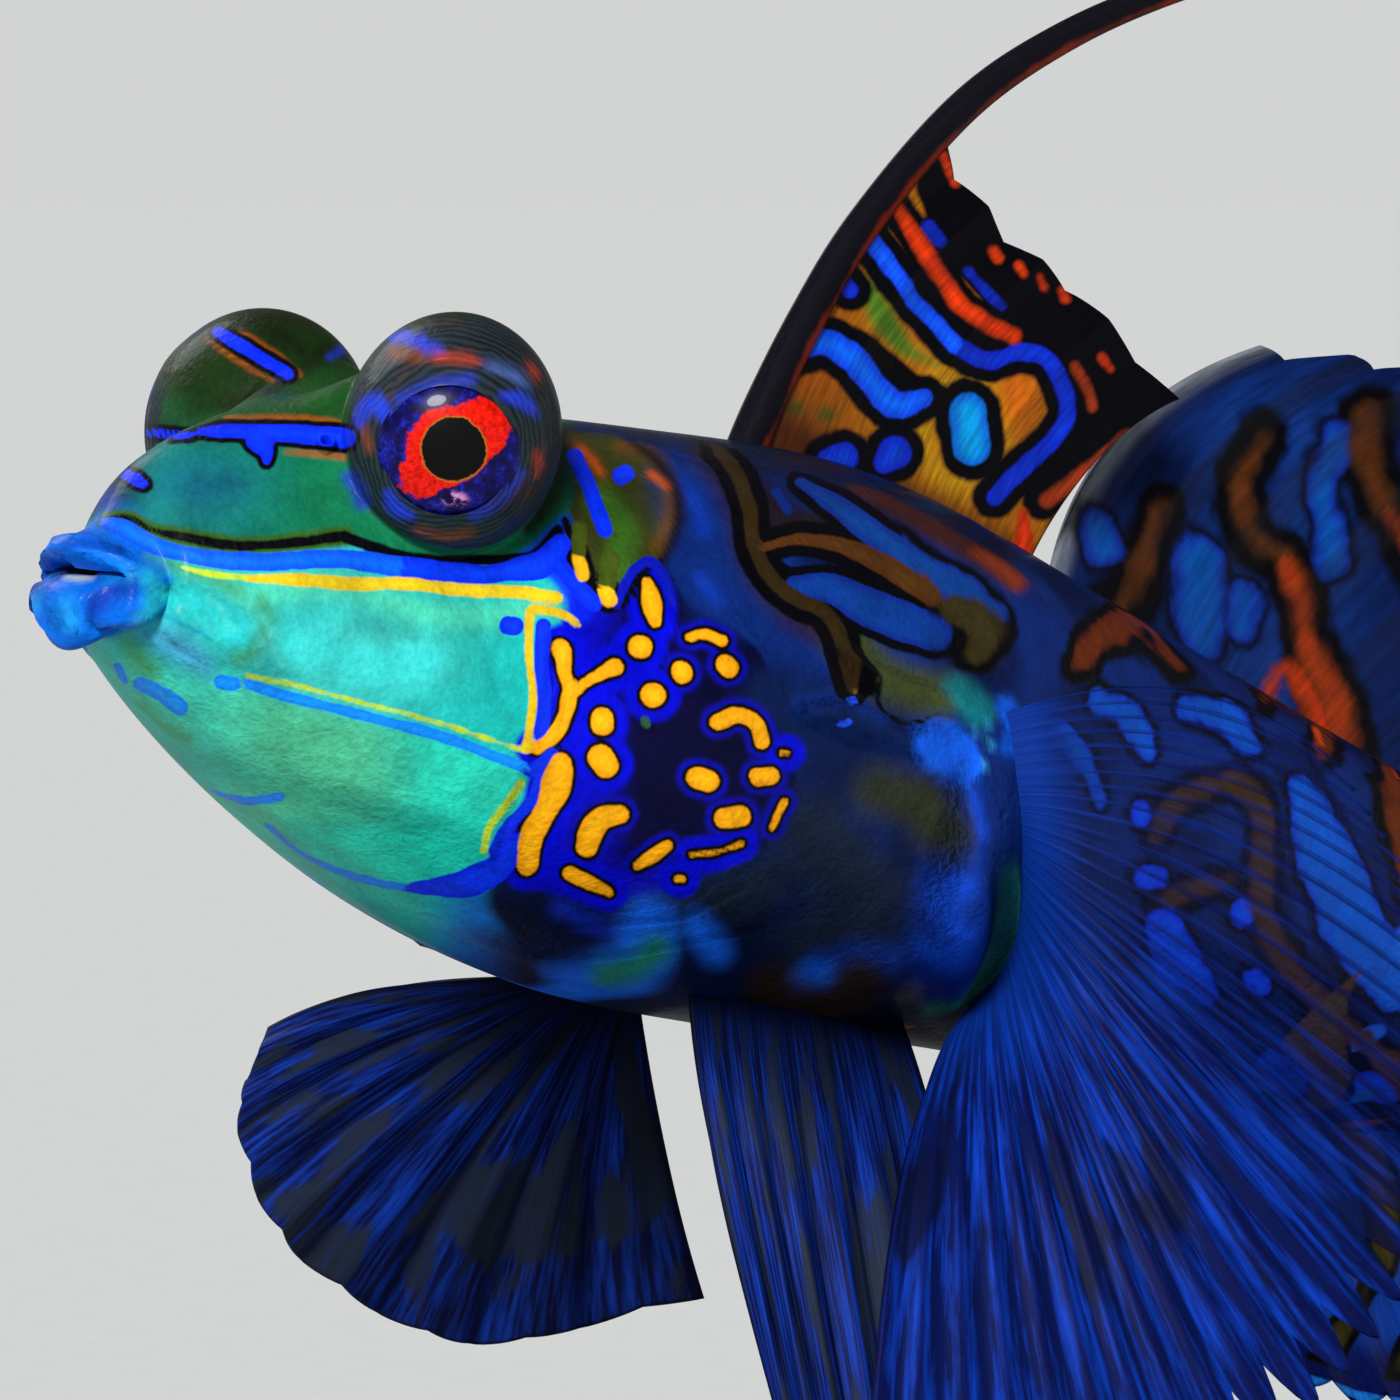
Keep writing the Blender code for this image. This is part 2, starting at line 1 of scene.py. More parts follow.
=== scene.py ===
# %% [markdown]
# # A mandarinfish on a display stand
#
# The real animal is a small reef fish, about as long as a finger, with a skin of
# electric blue crossed by orange and green lines. It has no scales: the skin is
# smooth and wet. This lesson dresses the plain solids of a life-size museum model:
# the flesh gets one continuous skin, the fins get thin membranes with rays, and the
# markings are laid on as signed distances, so their edges stay crisp at any zoom.

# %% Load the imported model
import math
from collections import namedtuple

import bpy
import numpy as np
from mathutils import Matrix, Vector
from mathutils.bvhtree import BVHTree


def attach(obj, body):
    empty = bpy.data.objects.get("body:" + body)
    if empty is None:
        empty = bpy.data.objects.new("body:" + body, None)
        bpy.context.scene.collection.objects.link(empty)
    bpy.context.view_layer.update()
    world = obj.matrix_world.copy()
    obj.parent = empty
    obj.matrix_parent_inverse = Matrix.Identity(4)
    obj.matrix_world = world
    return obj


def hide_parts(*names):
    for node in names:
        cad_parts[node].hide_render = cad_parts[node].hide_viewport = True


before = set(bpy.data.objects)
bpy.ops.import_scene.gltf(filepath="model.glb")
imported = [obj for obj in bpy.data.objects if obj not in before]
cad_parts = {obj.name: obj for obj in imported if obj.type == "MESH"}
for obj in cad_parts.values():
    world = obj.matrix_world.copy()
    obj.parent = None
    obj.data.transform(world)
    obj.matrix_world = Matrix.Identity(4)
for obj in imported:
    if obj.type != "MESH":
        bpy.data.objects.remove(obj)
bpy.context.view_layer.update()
MM = 0.001

# %% [markdown]
# ## Small tools
#
# Every shape below is a function of two parameters, worked out with whole arrays.
# Four little curves do most of the work: a spline through named values, an eased
# step, a soft hill, and a way of placing grid lines closer together where the shape
# is finest.


# %% Curves
def smooth(x, knots, values):
    """A cubic Hermite spline through the values at the knots."""
    x, knots, values = (np.asarray(a, float) for a in (x, knots, values))
    slopes = np.gradient(values, knots)
    i = np.clip(np.searchsorted(knots, x) - 1, 0, len(knots) - 2)
    width = knots[i + 1] - knots[i]
    t = np.clip((x - knots[i]) / width, 0.0, 1.0)
    return (
        values[i] * (1 + 2 * t) * (1 - t) ** 2
        + slopes[i] * width * t * (1 - t) ** 2
        + values[i + 1] * t * t * (3 - 2 * t)
        + slopes[i + 1] * width * t * t * (t - 1)
    )


def smooth_points(x, knots, points):
    """smooth() for each coordinate of a row of points."""
    points = np.asarray(points, float)
    return np.stack([smooth(x, knots, points[:, k]) for k in range(points.shape[1])], -1)


def step(x):
    """0 below 0, 1 above 1, eased between: 3x^2 - 2x^3."""
    t = np.clip(x, 0.0, 1.0)
    return t * t * (3 - 2 * t)


def bump(x, centre, width):
    """A soft hill of height 1 at the centre: e to the minus (distance / width) squared."""
    return np.exp(-(((x - centre) / width) ** 2))


def unit(v):
    """The vectors at length 1."""
    v = np.asarray(v, float)
    return v / np.maximum(np.linalg.norm(v, axis=-1, keepdims=True), 1e-12)


def spread(start, end, count, peaks):
    """Steps from start to end, closer together at the peaks (centre, width, extra)."""
    fine = np.linspace(start, end, 4001)
    density = 1.0 + sum(extra * bump(fine, centre, width) for centre, width, extra in peaks)
    share = np.concatenate([[0.0], np.cumsum((density[1:] + density[:-1]) / 2)])
    return np.interp(np.linspace(0, share[-1], count), share, fine)


print("a quarter of the way, step() is at", step(0.25))

# %% [markdown]
# ## The bent body
#
# The fish is described straight, in millimetres: s runs back from the lips, y is out
# to its left and z is up. A spine curve then pitches the head up, lets the trunk
# sink and swings the tail aside. These are the same named sizes as the solids have.

# %% The pose
MOUTH_HEIGHT = 27.0
MOUTH_AHEAD = 31.0
SPINE_REACH = (-6.0, 76.0)
PITCH_AT = (-6.0, 10.0, 16.0, 22.0, 34.0, 50.0, 76.0)
PITCH_DEG = (10.0, 10.0, 14.0, 18.5, 17.5, 10.0, 4.0)
YAW_AT = (-6.0, 14.0, 24.0, 38.0, 52.0, 76.0)
YAW_DEG = (0.0, 0.0, 2.0, 6.0, 13.0, 22.0)


def spine_table():
    """Points and axes along the bent spine: s, place, tail-wards, left and up."""
    s = np.linspace(*SPINE_REACH, 821)
    pitch = np.radians(smooth(s, PITCH_AT, PITCH_DEG))
    yaw = np.radians(smooth(s, YAW_AT, YAW_DEG))
    back = np.stack(
        [np.cos(yaw) * np.cos(pitch), np.sin(yaw) * np.cos(pitch), -np.sin(pitch)], -1
    )
    left = np.stack([np.sin(yaw), -np.cos(yaw), np.zeros_like(s)], -1)
    up = np.cross(left, back)
    middle = (back[1:] + back[:-1]) / 2
    place = np.vstack([np.zeros(3), np.cumsum(middle * np.diff(s)[:, None], axis=0)])
    place = place - smooth_points(0.0, s, place)
    return s, place + np.array([-MOUTH_AHEAD, 0.0, MOUTH_HEIGHT]), back, left, up


SPINE = spine_table()


def posed(points):
    """Straight-fish points in millimetres, bent along the spine, in metres."""
    points = np.asarray(points, float)
    s, place, _, left, up = SPINE
    out = np.empty_like(points)
    for k in range(3):
        out[..., k] = (
            np.interp(points[..., 0], s, place[:, k])
            + points[..., 1] * np.interp(points[..., 0], s, left[:, k])
            + points[..., 2] * np.interp(points[..., 0], s, up[:, k])
        )
    return out * MM


print("mouth at", np.round(posed(np.zeros(3)) / MM, 1), "mm")

# %% [markdown]
# ## The shape of the skin
#
# Cross-sections are two half ellipses that meet at the widest level. The grid starts
# inside the mouth, rolls out over the lips and runs back to the tail, so the mouth
# is a real opening with no seam. The eye domes are blown out of it from a point
# inside the head, which gives the tight crease under them that the photograph shows.

# %% Body sizes
# Along the skin's grid: place, distance behind the lips, half width, top, bottom, widest level.
SECTIONS = (
    (-1.6, 1.60, 0.30, 0.03, -0.05, 0.00),
    (-1.0, 1.10, 0.66, 0.06, -0.09, 0.00),
    (-0.5, 0.45, 0.98, 0.07, -0.10, 0.00),
    (-0.1, 0.08, 1.12, 0.20, -0.38, -0.03),
    (0.15, 0.00, 1.20, 0.33, -0.66, -0.08),
    (0.5, 0.18, 1.34, 0.55, -1.06, -0.18),
    (0.9, 0.55, 1.40, 0.66, -1.22, -0.24),
    (1.2, 0.90, 1.34, 0.90, -1.10, -0.20),
    (1.6, 1.20, 1.46, 1.42, -1.16, -0.16),
    (2.0, 1.50, 1.66, 1.92, -1.34, -0.20),
    (2.6, 2.10, 2.06, 2.42, -1.78, -0.32),
    (3.4, 2.90, 2.56, 2.86, -2.34, -0.50),
    (4.5, 4.00, 3.18, 3.20, -3.02, -0.75),
    (6.5, 6.00, 4.05, 3.55, -4.12, -1.05),
    (8.5, 8.00, 4.75, 3.80, -5.00, -1.20),
    (12.5, 12.00, 5.40, 4.15, -5.95, -1.15),
    (16.5, 16.00, 5.30, 4.45, -5.95, -0.85),
    (22.5, 22.00, 4.45, 3.85, -5.10, -0.55),
    (30.5, 30.00, 3.40, 3.20, -4.00, -0.30),
    (40.5, 40.00, 2.30, 2.55, -2.95, -0.15),
    (47.5, 47.00, 1.50, 2.20, -2.45, -0.10),
    (52.5, 52.00, 0.85, 2.15, -2.35, -0.10),
)
LIP_CORNER_SET_BACK = 0.70
LIP_ENDS_AT = 2.2
SKIN_START = SECTIONS[0][0]
STEM_END = 50.4
TAIL_ROUNDING = 0.8
EYE_DOME = (6.05, 2.72, 3.13)
EYE_ROOT = (6.00, 1.50, 2.00)
GAZE_LEFT = (-0.62, 0.77, -0.21)
GAZE_RIGHT = (-0.08, -0.99, -0.06)
DOME_RADII = (2.06, 1.88, 2.13)
RIM_RADIUS, RIM_WIDTH, RIM_HEIGHT = 1.61, 0.17, 0.10
CREASE = 0.12
BROW_SOFT = 0.75
BROW_PINCH = 0.55
LIP_LOBE = 0.19
FOLD_SWELL = 0.16
SHOULDER_AT = (17.7, -26.0)
SHOULDER_SWELL = 0.45
WEB_AT = (6.3, 2.0)
WEB_HEIGHT = 1.0
SADDLE_HEIGHT = 0.35
widest = 2 * max(row[2] for row in SECTIONS)
print("skin from", SKIN_START, "to", STEM_END, "mm, widest", widest, "mm")


# %% Eye domes
SOCKET_RADIUS, SOCKET_WALL = 1.48, 0.3


def eye_frame(side):
    """The dome's centre and its axes: along the gaze, across it and upright."""
    gaze = unit(GAZE_LEFT if side > 0 else GAZE_RIGHT)
    across = unit(np.cross(gaze, (0.0, 0.0, 1.0)))
    centre = np.array(EYE_DOME) * (1, side, 1)
    return centre, np.stack([gaze, across, np.cross(across, gaze)])


def swell_eyes(points, socket=0.0):
    """Skin pushed out along rays from a root point onto an ellipsoid, with a soft join.

    The rim of the lid is a ring-shaped hill round the gaze, and inside it the skin
    sinks by the socket's depth, under the eyeball.
    """
    radii = np.array(DOME_RADII)
    for side in (1, -1):
        centre, axes = eye_frame(side)
        root = np.array(EYE_ROOT) * (1, side, 1)
        reach = points - root
        distance = np.linalg.norm(reach, axis=-1)
        way = reach / np.maximum(distance, 1e-9)[..., None]
        w, o = (way @ axes.T) / radii, (axes @ (root - centre)) / radii
        a, b, c = (w * w).sum(-1), (w * o).sum(-1), (o * o).sum(-1) - 1
        dome = (-b + np.sqrt(np.maximum(b * b - a * c, 0))) / a
        crease = CREASE + BROW_SOFT * step(-side * way[..., 1] * 1.4 + 0.1)
        over = (dome - distance) / crease
        push = crease * np.where(np.abs(over) < 1, (over + 1) ** 2 / 4, over)
        points = root + way * (distance + np.where(over > -1, push, 0.0))[..., None]
        along, off = (points - centre) @ axes[0], (points - centre) @ axes[1:].T
        off = np.linalg.norm(off, axis=-1)
        sink = socket * step((SOCKET_RADIUS - off) / SOCKET_WALL)
        lift = RIM_HEIGHT * bump(off, RIM_RADIUS, RIM_WIDTH) - sink
        points = points + np.where(along > 0, lift, 0.0)[..., None] * axes[0]
    return points


print("left gaze", np.round(eye_frame(1)[1][0], 2))


# %% The skin
def skin(place, angle, socket=0.0):
    """The skin at a place along it and an angle round it, from the left over the back."""
    place, angle = np.broadcast_arrays(np.asarray(place, float), np.asarray(angle, float))
    table = np.array(SECTIONS)
    s, width, top, bottom, level = (
        smooth(place, table[:, 0], table[:, k]) for k in range(1, 6)
    )
    across, up = np.cos(angle), np.sin(angle)
    on_lips = step((LIP_ENDS_AT - np.abs(place)) / LIP_ENDS_AT * 1.6)
    s = s + LIP_CORNER_SET_BACK * across**2 * on_lips
    pinch = BROW_PINCH * bump(place, 5.5, 4.0) * np.maximum(up, 0.0) ** 1.5
    y = width * across * (1 + 0.10 * (across * up) ** 2 - pinch)
    z = level + np.where(up > 0, top - level, level - bottom) * up
    web = SADDLE_HEIGHT + WEB_HEIGHT * step(np.abs(y) / 1.3)
    z = z + web * bump(place, *WEB_AT) * step((up - 0.35) / 0.4)
    below = np.degrees(np.arctan2(up, np.abs(across)))
    lobes = bump(below, -28, 17) - bump(below, -57, 9) + bump(below, -90, 22)
    swell = LIP_LOBE * bump(place, 0.75, 0.45) * lobes
    swell = swell + FOLD_SWELL * bump(place, 3.1, 0.7) * bump(below, -12, 17)
    swell = swell + SHOULDER_SWELL * bump(place, SHOULDER_AT[0], 1.1) * bump(
        below, SHOULDER_AT[1], 28
    )
    rounding = np.sqrt(np.maximum(1 - (np.maximum(place - STEM_END, 0) / TAIL_ROUNDING) ** 2, 0))
    y = (y + swell * across) * rounding
    z = level + (z - level + swell * up) * rounding
    return swell_eyes(np.stack([s, y, z], -1), socket)


def on_skin(s, angle_deg, lift=0.0):
    """A point on the skin at s and an angle in degrees, lifted off along its normal."""
    a, e = math.radians(angle_deg), 0.02
    p = skin(s + 0.5, a)
    normal = unit(np.cross(skin(s + 0.5 + e, a) - p, skin(s + 0.5, a + e) - p))
    if normal @ (p - np.array([p[0], 0.0, 0.0])) < 0:
        normal = -normal
    return p + lift * normal


print("side of the skin 12 mm back:", np.round(skin(12.5, 0.0), 2), "mm")


# %% Meshes from grids
def grid_faces(rows, columns, wrap=False, first=0):
    """Two triangles for each cell of a grid of points, all split the same way."""
    i, j = np.meshgrid(
        np.arange(rows - 1), np.arange(columns if wrap else columns - 1), indexing="ij"
    )
    a = first + i * columns + j
    b = first + i * columns + (j + 1) % columns
    c, d = a + columns, b + columns
    return np.concatenate(
        [np.stack([a, c, b], -1).reshape(-1, 3), np.stack([b, c, d], -1).reshape(-1, 3)]
    )


def outward(points, triangles):
    """The triangles of a closed piece, turned over if they enclose a negative volume."""
    a, b, c = ((points - points.mean(0))[triangles[:, k]] for k in range(3))
    volume = np.einsum("ij,ij->i", a, np.cross(b, c)).sum()
    return triangles if volume > 0 else triangles[:, ::-1]


def mesh_piece(name, points, triangles, attributes=None):
    """One object from points in metres and triangles, with a number or colour per point."""
    points, triangles = np.asarray(points, np.float32), np.asarray(triangles, np.int32)
    mesh = bpy.data.meshes.new(name)
    mesh.vertices.add(len(points))
    mesh.vertices.foreach_set("co", points.ravel())
    mesh.loops.add(triangles.size)
    mesh.loops.foreach_set("vertex_index", triangles.ravel())
    mesh.polygons.add(len(triangles))
    mesh.polygons.foreach_set("loop_start", np.arange(0, triangles.size, 3, dtype=np.int32))
    mesh.update(calc_edges=True)
    mesh.shade_smooth()
    for label, values in (attributes or {}).items():
        values = np.asarray(values, np.float32)
        if values.ndim == 2:
            layer = mesh.attributes.new(label, "FLOAT_COLOR", "POINT")
            full = np.ones((len(values), 4), np.float32)
            full[:, :3] = values
            layer.data.foreach_set("color", full.ravel())
        else:
            layer = mesh.attributes.new(label, "FLOAT", "POINT")
            layer.data.foreach_set("value", values)
    piece = bpy.data.objects.new(name, mesh)
    bpy.context.scene.collection.objects.link(piece)
    return piece


print("triangles of 3 by 3 points:", len(grid_faces(3, 3)))

# %% [markdown]
# ## The camera
#
# The photograph is a close-up of the front half from the fish's left and ahead, with
# a long lens. The lips sit at one named pixel, and one named size says how many
# millimetres a pixel covers there. The same sight lines later carry the markings
# from the photograph to the skin.

# %% Camera
PHOTO_WIDTH = 1400
CAMERA_AZIMUTH = -40.0
CAMERA_HEIGHT_ANGLE = 3.0
CAMERA_DISTANCE = 180.0
MM_PER_PIXEL = 0.017
LIPS_PIXEL = (55, 565)


def camera_frame():
    """The camera's place and its axes: right, up and back."""
    a, e = math.radians(CAMERA_AZIMUTH), math.radians(CAMERA_HEIGHT_ANGLE)
    back = np.array([math.sin(a) * math.cos(e), -math.cos(a) * math.cos(e), math.sin(e)])
    right = np.array([math.cos(a), math.sin(a), 0.0])
    up = np.cross(back, right)
    half = PHOTO_WIDTH / 2
    aim = (
        posed(np.zeros(3))
        + right * (half - LIPS_PIXEL[0]) * MM_PER_PIXEL * MM
        - up * (half - LIPS_PIXEL[1]) * MM_PER_PIXEL * MM
    )
    return aim + back * CAMERA_DISTANCE * MM, right, up, back


CAMERA_PLACE, RIGHT, UP, BACK = camera_frame()
FOCAL = CAMERA_DISTANCE / MM_PER_PIXEL


def seen_at(points):
    """The photograph's pixels for points in metres: focal length times offset over depth."""
    reach = points - CAMERA_PLACE
    depth = -(reach @ BACK)
    half = PHOTO_WIDTH / 2
    across, down = reach @ RIGHT / depth, -(reach @ UP) / depth
    return np.stack([half + FOCAL * across, half + FOCAL * down], -1)


camera = bpy.data.cameras.new("camera")
camera.sensor_width = 36.0
camera.lens = camera.sensor_width * FOCAL / PHOTO_WIDTH
camera.clip_start = 0.001
camera_object = bpy.data.objects.new("camera", camera)
camera_object.matrix_world = Matrix(
    [[RIGHT[i], UP[i], BACK[i], CAMERA_PLACE[i]] for i in range(3)] + [[0, 0, 0, 1]]
)
bpy.context.scene.collection.objects.link(camera_object)
bpy.context.scene.camera = camera_object
print("lens", round(camera.lens), "mm, camera", np.round(CAMERA_PLACE / MM, 1), "mm")

# %% [markdown]
# ## Lids
#
# The skin closes round each eye as a ring of fine folds. It is a short sheet of its own
# that rides just over the dome and tucks under at the inner edge, so the eye sits in a
# real opening. A ripple in its height gives the folds their first relief.

# %% Lids
EYE_SIDES = ((42.0, 22.0, 1.4), (138.0, 22.0, 1.4))
SOCKET_DEPTH = 0.98
LID_REACH = (1.12, 1.60)
LID_LIFT, LID_TUCK = 0.10, 0.05
LID_TUCK_AT, LID_TUCK_WIDTH = 1.4, 0.2
LID_FOLD_HEIGHT, LID_FOLD_TURN = 0.008, 60.0


def lid_ring(side, rings=14, around=96):
    """The lid: rings round the gaze that ride 0.10 mm above the dome and tuck under it."""
    centre, axes = eye_frame(side)
    off = np.linspace(*LID_REACH, rings)[:, None]
    turn = np.linspace(0, 2 * np.pi, around, endpoint=False)[None]
    a, b = off * np.cos(turn), off * np.sin(turn)
    dome = DOME_RADII[0] * np.sqrt(1 - (a / DOME_RADII[1]) ** 2 - (b / DOME_RADII[2]) ** 2)
    lift = LID_LIFT - LID_TUCK * step((off - LID_TUCK_AT) / LID_TUCK_WIDTH)
    lift = lift + LID_FOLD_HEIGHT * np.cos(off * LID_FOLD_TURN)
    return centre + np.stack([dome + lift, a, b], -1) @ axes


print("lids", 2 * LID_REACH[0], "to", 2 * LID_REACH[1], "mm across")


# %% [markdown]
# ## Inks
#
# The colours of the animal come from stacked pigment cells: nothing on it is one flat
# colour, but each line is an ink with a clean edge. So every line is kept as a number
# per point, the distance to its edge in millimetres (negative inside), and a smooth
# colour field is kept below the lines. The shader cuts the distance at zero, which
# stays sharp between the points of the mesh.


# %% Colours
def linear(code):
    """An sRGB hex colour as linear red, green and blue."""
    c = np.array([int(code[i : i + 2], 16) for i in (1, 3, 5)]) / 255
    return np.where(c <= 0.04045, c / 12.92, ((c + 0.055) / 1.055) ** 2.4)


LIP_BLUE = "#0462d2"
BAND_BLUE = "#0626e8"
CHEEK_LINE_BLUE = "#0f7df0"
TURQUOISE = "#27a8a4"
PALE_GREEN = "#4cbc90"
SNOUT_GREEN = "#0c6a44"
SNOUT_TEAL = "#0e6c66"
NAVY = "#04042c"
GILL_BLUE = "#0206c4"
GOLD = "#ee9d0e"
BLACK = "#030308"
BODY_BLUE = "#08246a"
OLIVE_BROWN = "#3d2c0b"
ORANGE_BROWN = "#8e3d0c"
DARK_OLIVE = "#2c3010"


def blend_colours(a, b, share):
    """From colour a to colour b by a share per point."""
    return a + (b - a) * np.asarray(share)[..., None]


def laid_over(colour, *coats):
    """The colour with coats over it in turn, each a hex code and a share per point."""
    for code, share in coats:
        colour = blend_colours(colour, linear(code), share)
    return colour


print("lip blue, linear:", np.round(linear(LIP_BLUE), 3))

# %% [markdown]
# ## Lines read from the photograph
#
# Each line was followed over the photograph, as a few pixels and a width. The
# sight line through each pixel meets the skin at one point, so the line lies on the
# real shape and is right from any side. The fish's far side carries the same lines
# mirrored, as a real one does nearly.

# %% Kinds of mark
# A mark with a clean edge has an ink, its layer, the width of its black edge in pixels
# and its lines, each a name, a width and points; a point's third number is its own
# width. A halo is a wider ring of another ink.
Marks = namedtuple("Marks", "ink layer edge lines halo halo_ink", defaults=(0, BLACK))
Patch = namedtuple("Patch", "ink soft lines")
Rise = namedtuple("Rise", "height soft lines")
print("a mark has:", ", ".join(Marks._fields))

# %% Lines of the face
FACE_LINES = (
    Marks(BAND_BLUE, "cool", 5, {
        "brow band": (16, ((200, 431, 8), (224, 431, 13), (262, 432, 17), (310, 435, 19),
            (345, 438, 21))),
        "brow drop": (14, ((256, 440, 22), (266, 450, 15), (267, 462, 6))),
        "far brow band": (10, ((143, 432, 9), (166, 434), (190, 435, 7))),
        "far dome band": (13, ((217, 331, 11), (240, 345), (264, 360), (288, 374, 12))),
        "snout mark": (12, ((124, 474, 10), (134, 478), (144, 484, 9))),
    }),
    Marks("#a04a10", "halo", 0, {
        "over the brow band": (5, ((226, 417, 3), (262, 418), (300, 418), (338, 422, 4))),
        "under the brow band": (6, ((286, 452, 4), (318, 454), (344, 457))),
        "under the far dome band": (6, ((208, 340, 4), (238, 360), (272, 380, 4))),
        "over the far dome band": (7, ((240, 331, 4), (268, 350), (298, 374, 5))),
    }),
    Marks("#0c50e8", "cool", 0, {
        "face band front": (17, ((104, 522, 9), (120, 527), (140, 538), (165, 549), (200, 557),
            (230, 561, 19))),
    }),
    Marks("#0a4ade", "cool", 0, {
        "face band": (19, ((230, 561), (262, 562), (300, 560), (345, 559), (400, 567, 22))),
    }),
    Marks("#0628d6", "cool", 0, {
        "face band rear": (22, ((404, 567), (450, 573), (500, 573, 19), (535, 563))),
    }),
    Marks(BAND_BLUE, "cool", 0, {
        "face band root": (28, ((505, 573, 18), (545, 562), (560, 545, 22))),
        "face band turn": (17, ((556, 562), (574, 582), (594, 604))),
        "behind the eye": (16, ((575, 456), (583, 474), (593, 498), (605, 530))),
        "throat": (26, ((404, 888, 8), (436, 887, 18), (470, 882, 30), (504, 862, 24),
            (520, 838, 12))),
    }),
    Marks(CHEEK_LINE_BLUE, "cool", 0, {
        "cheek line start": (14, ((221, 682), (234, 684))),
        "cheek line": (11, ((248, 684), (268, 691), (325, 706), (383, 721), (440, 736), (494, 756),
            (530, 770))),
        "chin mark": (16, ((140, 684, 14), (160, 693), (180, 707, 17))),
        "chin dot": (10, ((118, 667), (123, 680))),
        "jaw line front": (10, ((214, 792), (245, 801), (280, 797))),
        "jaw line": (9, ((268, 826), (291, 847), (325, 866), (383, 884), (424, 890))),
    }),
    Marks("#0a28e0", "cool", 0, {
        "cheek line end": (13, ((528, 770), (540, 764), (552, 754))),
        "cheek line branch": (12, ((540, 776), (534, 798), (509, 824), (494, 850))),
        "cheek bar": (15, ((543, 626), (541, 668), (543, 716), (538, 740))),
        "cheek spot": (19, ((508, 625), (514, 626))),
        "spot behind the eye": (18, ((621, 476), (625, 474))),
    }),
    Marks("#0812a4", "cool", 0, {
        "gill rim": (10, ((616, 606), (634, 570), (648, 561), (662, 572), (672, 604))),
    }),
    Marks(BLACK, "dark", 0, {
        "face line": (10, ((102, 520, 4), (126, 517, 6), (150, 529, 6), (188, 538), (228, 545),
            (268, 545), (308, 541), (343, 536, 12))),
    }, halo=5, halo_ink="#2b5512"),
    Marks(BLACK, "dark", 0, {
        "line under the eye": (12, ((343, 536), (375, 548), (420, 559), (480, 560), (535, 554),
            (558, 530))),
        "line round the olive patch": (8, ((565, 520), (575, 548), (583, 580), (598, 606),
            (620, 606), (640, 575), (662, 560, 4))),
    }),
    Marks("#d2b01a", "warm", 0, {
        "gold under the band": (13, ((250, 578, 7), (300, 580), (353, 584), (407, 584), (461, 590),
            (528, 593), (556, 598))),
        "gold branch": (9, ((533, 609), (557, 612), (570, 618), (577, 624))),
        "gold upright": (9, ((530, 612), (529, 655), (533, 700), (526, 749))),
    }),
    Marks("#a9c42c", "warm", 0, {
        "over the cheek line": (5, ((246, 676), (300, 686), (325, 693), (383, 708), (440, 723),
            (494, 741), (522, 750))),
        "rear cheek edge": (8, ((521, 782), (505, 806), (488, 830), (484, 850))),
        "gold at its start": (7, ((182, 567, 4), (205, 573), (250, 578))),
    }),
    Marks("#38450f", "warm", 0, {
        "lobe": (15, ((579, 552), (580, 528))),
        "second lobe": (19, ((607, 584), (611, 560))),
    }),
    Marks("#e0a516", "warm", 6, {
        "lobe ends": (14, ((577, 548, 9), (579, 560), (583, 575))),
        "second lobe end": (17, ((606, 590), (609, 600))),
    }),
)
print("lines on the face:", sum(len(group.lines) for group in FACE_LINES))

# %% Spots of the gill cover
GILL_SPOTS = (
    Marks(GOLD, "warm", 4, {
        "arch": (10, ((690, 637), (704, 634), (722, 641, 12))),
        "spot behind": (19, ((725, 664), (729, 668))),
        "spot c": (20, ((681, 671), (683, 673))),
        "hook": (16, ((718, 722), (738, 715), (756, 724, 15), (762, 742, 15))),
        "oval": (22, ((697, 778), (708, 781))),
        "small oval": (18, ((758, 777), (770, 776))),
        "low oval": (20, ((724, 818), (741, 816))),
        "slivers": (8, ((785, 802), (778, 814), (773, 828))),
        "bean": (24, ((620, 814, 18), (600, 820), (590, 835), (587, 846, 22))),
        "low sliver": (13, ((667, 846, 12), (653, 856), (637, 866, 8))),
    }, halo=9, halo_ink="#08089c"),
    Marks(GOLD, "warm", 4, {
        "drop": (14, ((647, 582, 9), (651, 600, 20), (655, 622, 13))),
        "round spots": (23, ((639, 647), (641, 647))),
        "spot d": (24, ((652, 695), (654, 695))),
        "spot e": (23, ((602, 719), (602, 724))),
        "spot f": (25, ((601, 757), (606, 765))),
        "jaw sliver": (14, ((570, 873), (590, 883), (609, 892, 9))),
        "thin line": (6, ((692, 855), (718, 852), (741, 844))),
        "dot low": (7, ((678, 879), (682, 879))),
        "dot rear": (7, ((782, 753), (787, 753))),
        "fork": (14, ((561, 650, 20), (566, 677, 13), (572, 690, 12), (590, 680, 11),
            (615, 667, 17))),
        "stem": (15, ((570, 692), (565, 715), (553, 736), (536, 748, 11))),
        "second fork": (22, ((561, 764), (557, 782, 30), (547, 808), (532, 836, 24),
            (527, 866, 20))),
    }, halo=15, halo_ink=GILL_BLUE),
    Marks("#7f9c22", "warm", 0, {"green heart": (10, ((561, 768), (556, 784)))}),
    Marks("#2a5236", "warm", 0, {"grey green spot": (9, ((645, 720), (646, 724)))}),
)
print("spots of the gill cover:", sum(len(group.lines) for group in GILL_SPOTS))
